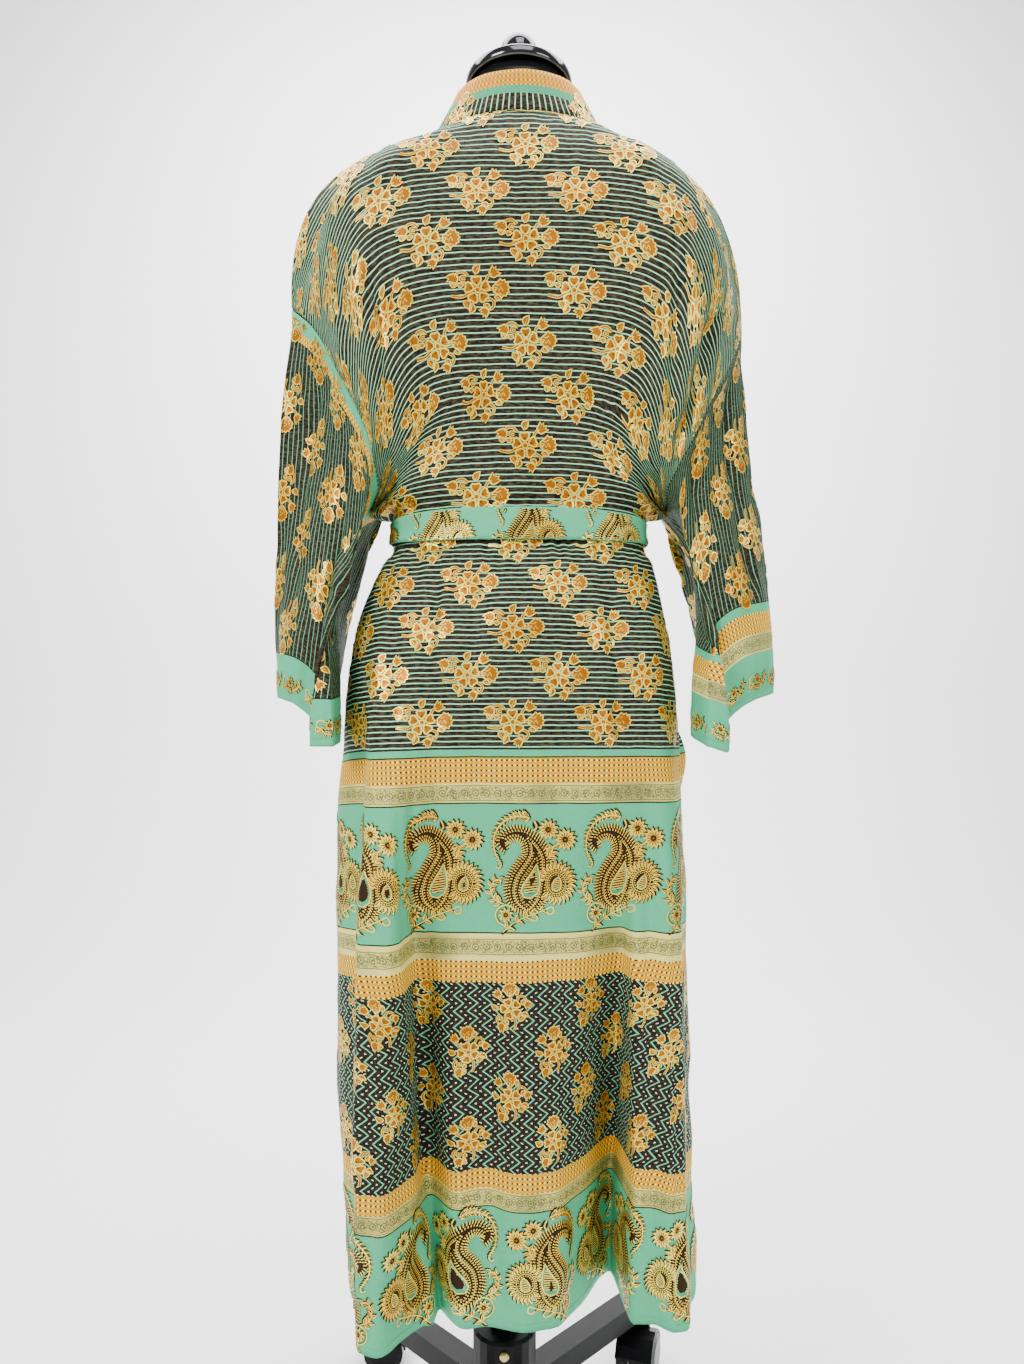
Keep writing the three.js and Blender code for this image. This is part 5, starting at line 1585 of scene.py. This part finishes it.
# Belt, knot and hanging ends.
def beltCloth(columns=230, rows=9):
    turn = np.arange(columns) / columns
    ringRows = []
    for part in np.linspace(1, -1, rows):
        half = []
        for face in (-1, 1):
            here = turn < 0.5 if face < 0 else turn >= 0.5
            reach = np.where(here, np.where(turn < 0.5, 2 * turn, 2 - 2 * turn), 0.5)
            sideways = abs(2 * reach - 1) ** 3
            tall = (belt["high"] - belt["low"]) / 2 * (1 - belt["pinch"] * sideways)
            levels = (belt["high"] + belt["low"]) / 2 + tall * part
            points, run = bodyRows(levels, face)
            at = reach[:, None] * run[:, -1:]
            lying = along(points, run, at) + rowNormals(points, run, at, face) * belt["off"]
            half.append((here, lying[:, 0]))
        ringRows.append(np.where(half[0][0][:, None], half[0][1], half[1][1]))
    return np.array(ringRows)


def beltPaisleys(shift, first, last):
    return [(shift + belt["pitch"] * m, 12.0, 0.0, 0.86, False) for m in range(first, last)]


p = beltCloth()
closed = np.concatenate((p, p[:, :1]), 1)
u = runOf(closed[4])
u = np.broadcast_to(u - u[len(u) // 4], closed.shape[:2])
v = np.broadcast_to(np.linspace(belt["width"], 0, len(p))[:, None], closed.shape[:2])
n = gridNormals(p, True)
a, b = u[:, :-1], v[:, :-1]
fold = 0.9 * smoothNoise(a, b * 3, 40, 9) + 0.5 * smoothNoise(a, b, 9, 8)
p = p + n * np.clip(fold + 0.4, -0.3, 2)[..., None]
dress(
    "belt_cloth", "belt", p, u, v, cloths["belt"],
    [("paisley", beltPaisleys(10, -6, 7))], ring=True, sewn=2.4,
)


knot = {
    "x": 6.0, "z": 1032.0, "half": (24.0, 12.0, 21.0), "columns": 72, "rows": 40, "pole": 0.02,
    "thickness": 0.8, "cloth": (140, 60),
}


# The knot: a squashed ball on which three turns of cloth cross.
def knotCloth():
    half = knot["half"]
    points, run = bodyRows(np.array([knot["z"]]), 1)
    start = lengthAtX(points, run, np.array([knot["x"]]))[:, None]
    depth = along(points, run, start)[0, 0, 1]
    rise = np.linspace(knot["pole"], math.pi - knot["pole"], knot["rows"])
    turn, rise = np.meshgrid(fullTurn(knot["columns"]), rise)
    x, y, z = np.sin(rise) * np.cos(turn), np.sin(rise) * np.sin(turn), np.cos(rise)
    slant = x * 0.75 + z * 1.15
    wrap = 0.1 * abs(np.sin(slant * 4.2)) ** 0.6 + 0.04 * np.sin(9 * (z - 0.6 * x)) * abs(y)
    size = 0.93 + wrap
    p = xyz(
        knot["x"] + half[0] * x * size,
        depth + belt["off"] + robe["seam"] + half[1] + half[1] * y * np.minimum(size, 1.06),
        knot["z"] + half[2] * z * size,
    )
    return p[:, ::-1]


p = knotCloth()
rows, columns = p.shape[:2]
u = np.broadcast_to(np.linspace(0, knot["cloth"][0], columns + 1), (rows, columns + 1))
v = np.broadcast_to(np.linspace(knot["cloth"][1], 0, rows)[:, None], u.shape)
knotObject = clothObject("belt_knot_cloth", p, u, v, ring=True, thickness=knot["thickness"])
standIn(knotObject, "belt_knot", cloths["belt"])


tails = {
    "top": 1013.0, "rows": 110, "columns": 12, "half": 16.5, "off": 3.2, "bulge": 6,
    "thickness": 2.0,
}


def tailCloth(topX, lowX, lowZ):
    t = np.linspace(0, 1, tails["rows"])
    levels = mix(tails["top"], lowZ, t)
    points, run = bodyRows(levels, 1)
    middle = lengthAtX(points, run, mix(topX, lowX, t))
    half = tails["half"] * mix(0.55, 1, ease(t * 3))
    lengths = middle[:, None] + half[:, None] * np.linspace(1, -1, tails["columns"])
    out = tails["off"] + tails["bulge"] * (1 - ease(t * 4))
    p = along(points, run, lengths) + rowNormals(points, run, lengths, 1) * out[:, None, None]
    ripple = 1.4 * smoothNoise(lengths, levels[:, None] + 0 * lengths, 24, 21) * ease(t * 3)[:, None]
    return p + gridNormals(p) * (ripple + 0.6)[..., None]


for name, node, topX, lowX, lowZ in (
    ("belt_tail_left_cloth", "belt_tail_left", -6, -34, 640),
    ("belt_tail_right_cloth", "belt_tail_right", 19, 30, 690),
):
    p = tailCloth(topX, lowX, lowZ)
    length = np.linspace(0, tails["top"] - lowZ, len(p))
    u = np.broadcast_to(length[:, None], p.shape[:2])
    v = np.broadcast_to(np.linspace(0, belt["width"], p.shape[1]), p.shape[:2])
    tail = clothObject(name, p, u, v, thickness=tails["thickness"])
    standIn(tail, node, cloths["belt"])
    n = gridNormals(p)
    tailSurface = Surface(p.swapaxes(0, 1), n.swapaxes(0, 1), u.T, v.T)
    art = layOn(f"{name}_paisley", tailSurface, drawn["paisley"], beltPaisleys(40, 0, 5))
    declareSheet(p)
print("belt ready")


# Sewing.
stitch = {"Pitch": 3.6 * mm, "Length": 2.3 * mm, "Thickness": 0.26 * mm, "Seed": 7}


def stitchTree():
    tree = bpy.data.node_groups.new("stitches", "GeometryNodeTree")
    sockets = (
        ("Path", "INPUT", "NodeSocketGeometry"), ("Pitch", "INPUT", "NodeSocketFloat"),
        ("Length", "INPUT", "NodeSocketFloat"), ("Thickness", "INPUT", "NodeSocketFloat"),
        ("Seed", "INPUT", "NodeSocketInt"), ("Thread", "INPUT", "NodeSocketMaterial"),
        ("Stitches", "OUTPUT", "NodeSocketGeometry"),
    )
    for label, way, kind in sockets:
        tree.interface.new_socket(name=label, in_out=way, socket_type=kind)
    made = {}
    for label, kind in (
        ("given", "NodeGroupInput"), ("curve", "GeometryNodeMeshToCurve"),
        ("steps", "GeometryNodeResampleCurve"),
        ("tangent", "GeometryNodeInputTangent"), ("turn", "FunctionNodeAlignRotationToVector"),
        ("thread", "GeometryNodeMeshCylinder"), ("vary", "FunctionNodeRandomValue"),
        ("copies", "GeometryNodeInstanceOnPoints"), ("real", "GeometryNodeRealizeInstances"),
        ("colour", "GeometryNodeSetMaterial"), ("result", "NodeGroupOutput"),
    ):
        made[label] = tree.nodes.new(kind)
    made["steps"].mode = "LENGTH"
    made["turn"].axis = "Z"
    made["vary"].data_type = "FLOAT"
    made["thread"].inputs["Vertices"].default_value = 5

    def socket(sockets, name):
        return [s for s in sockets if s.name == name and s.enabled][0]

    vary = made["vary"].inputs
    socket(vary, "Min").default_value, socket(vary, "Max").default_value = 0.8, 1.15
    for start, outName, end, inName in (
        ("given", "Path", "curve", "Mesh"), ("curve", "Curve", "steps", "Curve"),
        ("given", "Pitch", "steps", "Length"), ("tangent", "Tangent", "turn", "Vector"),
        ("given", "Thickness", "thread", "Radius"), ("given", "Length", "thread", "Depth"),
        ("given", "Seed", "vary", "Seed"), ("steps", "Curve", "copies", "Points"),
        ("thread", "Mesh", "copies", "Instance"), ("turn", "Rotation", "copies", "Rotation"),
        ("vary", "Value", "copies", "Scale"), ("copies", "Instances", "real", "Geometry"),
        ("real", "Geometry", "colour", "Geometry"), ("given", "Thread", "colour", "Material"),
        ("colour", "Geometry", "result", "Stitches"),
    ):
        tree.links.new(socket(made[start].outputs, outName), socket(made[end].inputs, inName))
    return tree


def sew(lines):
    # All stitches as one plain mesh.
    points = np.concatenate(lines)
    starts = np.cumsum([0] + [len(line) for line in lines])
    edges = [(k, k + 1) for a, b in zip(starts[:-1], starts[1:]) for k in range(a, b - 1)]
    path = bpy.data.meshes.new("stitch_path")
    path.from_pydata((points * mm).tolist(), edges, [])
    carrier = linked("stitch_path", path)
    maker = carrier.modifiers.new("stitches", "NODES")
    maker.node_group = stitchTree()
    items = maker.node_group.interface.items_tree
    given = {item.name: item.identifier for item in items if item.in_out == "INPUT"}
    for label, value in stitch.items():
        maker[given[label]] = value
    maker[given["Thread"]] = plainCloth("sewingThread")
    carrier.update_tag()
    seen = carrier.evaluated_get(bpy.context.evaluated_depsgraph_get())
    mesh = bpy.data.meshes.new_from_object(seen)
    bpy.data.objects.remove(carrier)
    mesh.name = "stitches_mesh"
    obj = linked("stitches", mesh)
    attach(obj, "figure")
    print("stitches", len(mesh.polygons), "faces")


sew(seamLines)
print("sewing ready")


# Form and stand.
def turnedObject(name, p, material):
    faces, _, _ = sheetFaces(*p.shape[:2], True)
    mesh = bpy.data.meshes.new(name)
    mesh.from_pydata((p.reshape(-1, 3) * mm).tolist(), [], faces[:, ::-1].tolist())
    smoothed(mesh)
    mesh.materials.append(material)
    mesh.validate()
    return linked(name, mesh)


def splitEdges(obj, degrees):
    obj.modifiers.new("edges", "EDGE_SPLIT").split_angle = math.radians(degrees)


# A chrome neck fitting turned from (radius, height) pairs, tilted with the neck.
def lathed(name, profile, node):
    turn = fullTurn(neck["steps"])
    r = np.array(profile, float)
    p = xyz(r[:, :1] * np.cos(turn), r[:, :1] * np.sin(turn), r[:, 1:] + 0 * turn)
    c, s = math.cos(-neck["tilt"]), math.sin(-neck["tilt"])
    y, z = p[..., 1] * c - p[..., 2] * s, p[..., 1] * s + p[..., 2] * c
    p = xyz(p[..., 0], y, z + neck["z"])
    obj = turnedObject(name, p, chrome)
    splitEdges(obj, 40)
    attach(obj, "figure")
    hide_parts(node)


neck = {
    "tilt": math.radians(10), "z": 1521.0, "radius": 59.3, "height": 13.0, "ball": 21.0, "ballUp": 52,
    "steps": 96,
}
form = {
    "low": 722, "high": 1520.6, "rows": 110, "columns": 72, "power": 2 / 2.25, "inside": 0.985,
    "neckFrom": 1490, "neckOver": 30,
}


def formBody():
    levels = np.linspace(form["low"], form["high"], form["rows"])
    at = read(torso, levels)
    turn = fullTurn(form["columns"])
    c, s = [np.sign(value) * abs(value) ** form["power"] for value in (np.cos(turn), np.sin(turn))]
    depth = np.where(np.sin(turn) < 0, at["back"][:, None], at["front"][:, None])
    y = s * depth * form["inside"]
    x = c * at["half"][:, None] * form["inside"]
    top = ease((levels - form["neckFrom"]) / form["neckOver"])[:, None]
    p = xyz(x, y, levels[:, None] - math.tan(neck["tilt"]) * y * top)
    low, high = [xyz(0 * turn, 0 * turn, form[end])[None] for end in ("low", "high")]
    obj = turnedObject("form_body", np.concatenate((low, p, high)), black)
    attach(obj, "figure")
    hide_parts("torso_form")


formBody()
r, h, ball = neck["radius"], neck["height"], neck["ball"]
plate = [(0, 0), (r - 4, 0), (r - 1.2, 1.2), (r, 3), (r, h - 3), (r - 0.6, h - 1.4), (r - 2, h - 0.4)]
lathed("neck_plate_turned", plate + [(r - 4, h), (0, h)], "neck_plate")
ballProfile = [(0, h + robe["seam"]), (13, h + robe["seam"]), (12.4, h + 2), (9.5, h + 5), (9, h + 8)]
first = math.asin(9 / ball)
for k in range(25):
    turn = mix(math.pi - first, 0, k / 24)
    ballProfile.append((ball * math.sin(turn), neck["ballUp"] + ball * math.cos(turn)))
lathed("neck_ball_turned", ballProfile, "neck_ball")

finishes = {"pole": chrome, "hub": standBlack, "hub_collar": chrome, "clamp_screw": brass}
for name, obj in nodes.items():
    if name.startswith("leg_"):
        finishes[name] = standBlack
    if name.startswith(("castor_", "wheels_")):
        finishes[name] = castorBlack
for name, material in finishes.items():
    obj = nodes[name]
    obj.data.materials.clear()
    obj.data.materials.append(material)
    smoothed(obj.data)
    splitEdges(obj, 35)
print("form and stand ready")


# Camera, floor and light.
view = {"place": (-0.0078, -1.12, 0.87), "sensor": 36.0, "lens": 26.66, "near": 0.05}
# Front edge of the floor, its bend up, the wall's place, its top and half its width, in metres.
backdrop = (-4.0, 0.9, 2.5, 5.0, 5.0)
# Place, what it points at, size and power of each lamp; the last one lights the wall.
lamps = (
    ((-1.9, -2.1, 2.3), (0, 0, 0.9), 1.0, 100), ((1.9, -1.9, 1.9), (0, 0, 0.9), 1.1, 34),
    ((0.2, -1.6, 3.2), (0, 0, 0.9), 1.4, 44), ((0.6, 1.9, 2.6), (0, 0, 0.9), 1.4, 22),
    ((0.0, 0.7, 2.7), (0.0, 2.5, 0.9), 2.2, 210),
)


def studio():
    scene = bpy.context.scene
    camera = linked("camera", bpy.data.cameras.new("camera"))
    camera.location = view["place"]
    camera.rotation_euler = (math.pi / 2, 0, 0)
    camera.data.sensor_width, camera.data.lens = view["sensor"], view["lens"]
    camera.data.clip_start = view["near"]
    scene.camera = camera
    mesh = bpy.data.meshes.new("floor")
    start, bend, wall, top, half = backdrop
    line = [(start, 0.0)]
    for turn in np.linspace(0, math.pi / 2, 16):
        line.append((wall - bend + bend * math.sin(turn), bend - bend * math.cos(turn)))
    line.append((wall, top))
    points = [(x, y, z) for y, z in line for x in (-half, half)]
    faces = [(k, k + 1, k + 3, k + 2) for k in range(0, 2 * len(line) - 2, 2)]
    mesh.from_pydata(points, [], faces)
    smoothed(mesh)
    floor = linked("floor", mesh)
    g = Graph("paleFloor", roughness=0.8)
    g.set("Base Color", (0.93, 0.93, 0.93, 1))
    mesh.materials.append(g.material)
    world = bpy.data.worlds.new("world")
    scene.world = world
    world.use_nodes = True
    sky = world.node_tree.nodes["Background"].inputs
    sky[0].default_value, sky[1].default_value = (0.95, 0.97, 1.0, 1), 0.46
    for k, (place, target, size, power) in enumerate(lamps):
        light = linked(f"light{k}", bpy.data.lights.new(f"light{k}", "AREA"))
        light.data.size, light.data.energy = size, power
        light.location = place
        light.rotation_euler = (Vector(target) - Vector(place)).to_track_quat("-Z", "Y").to_euler()


studio()
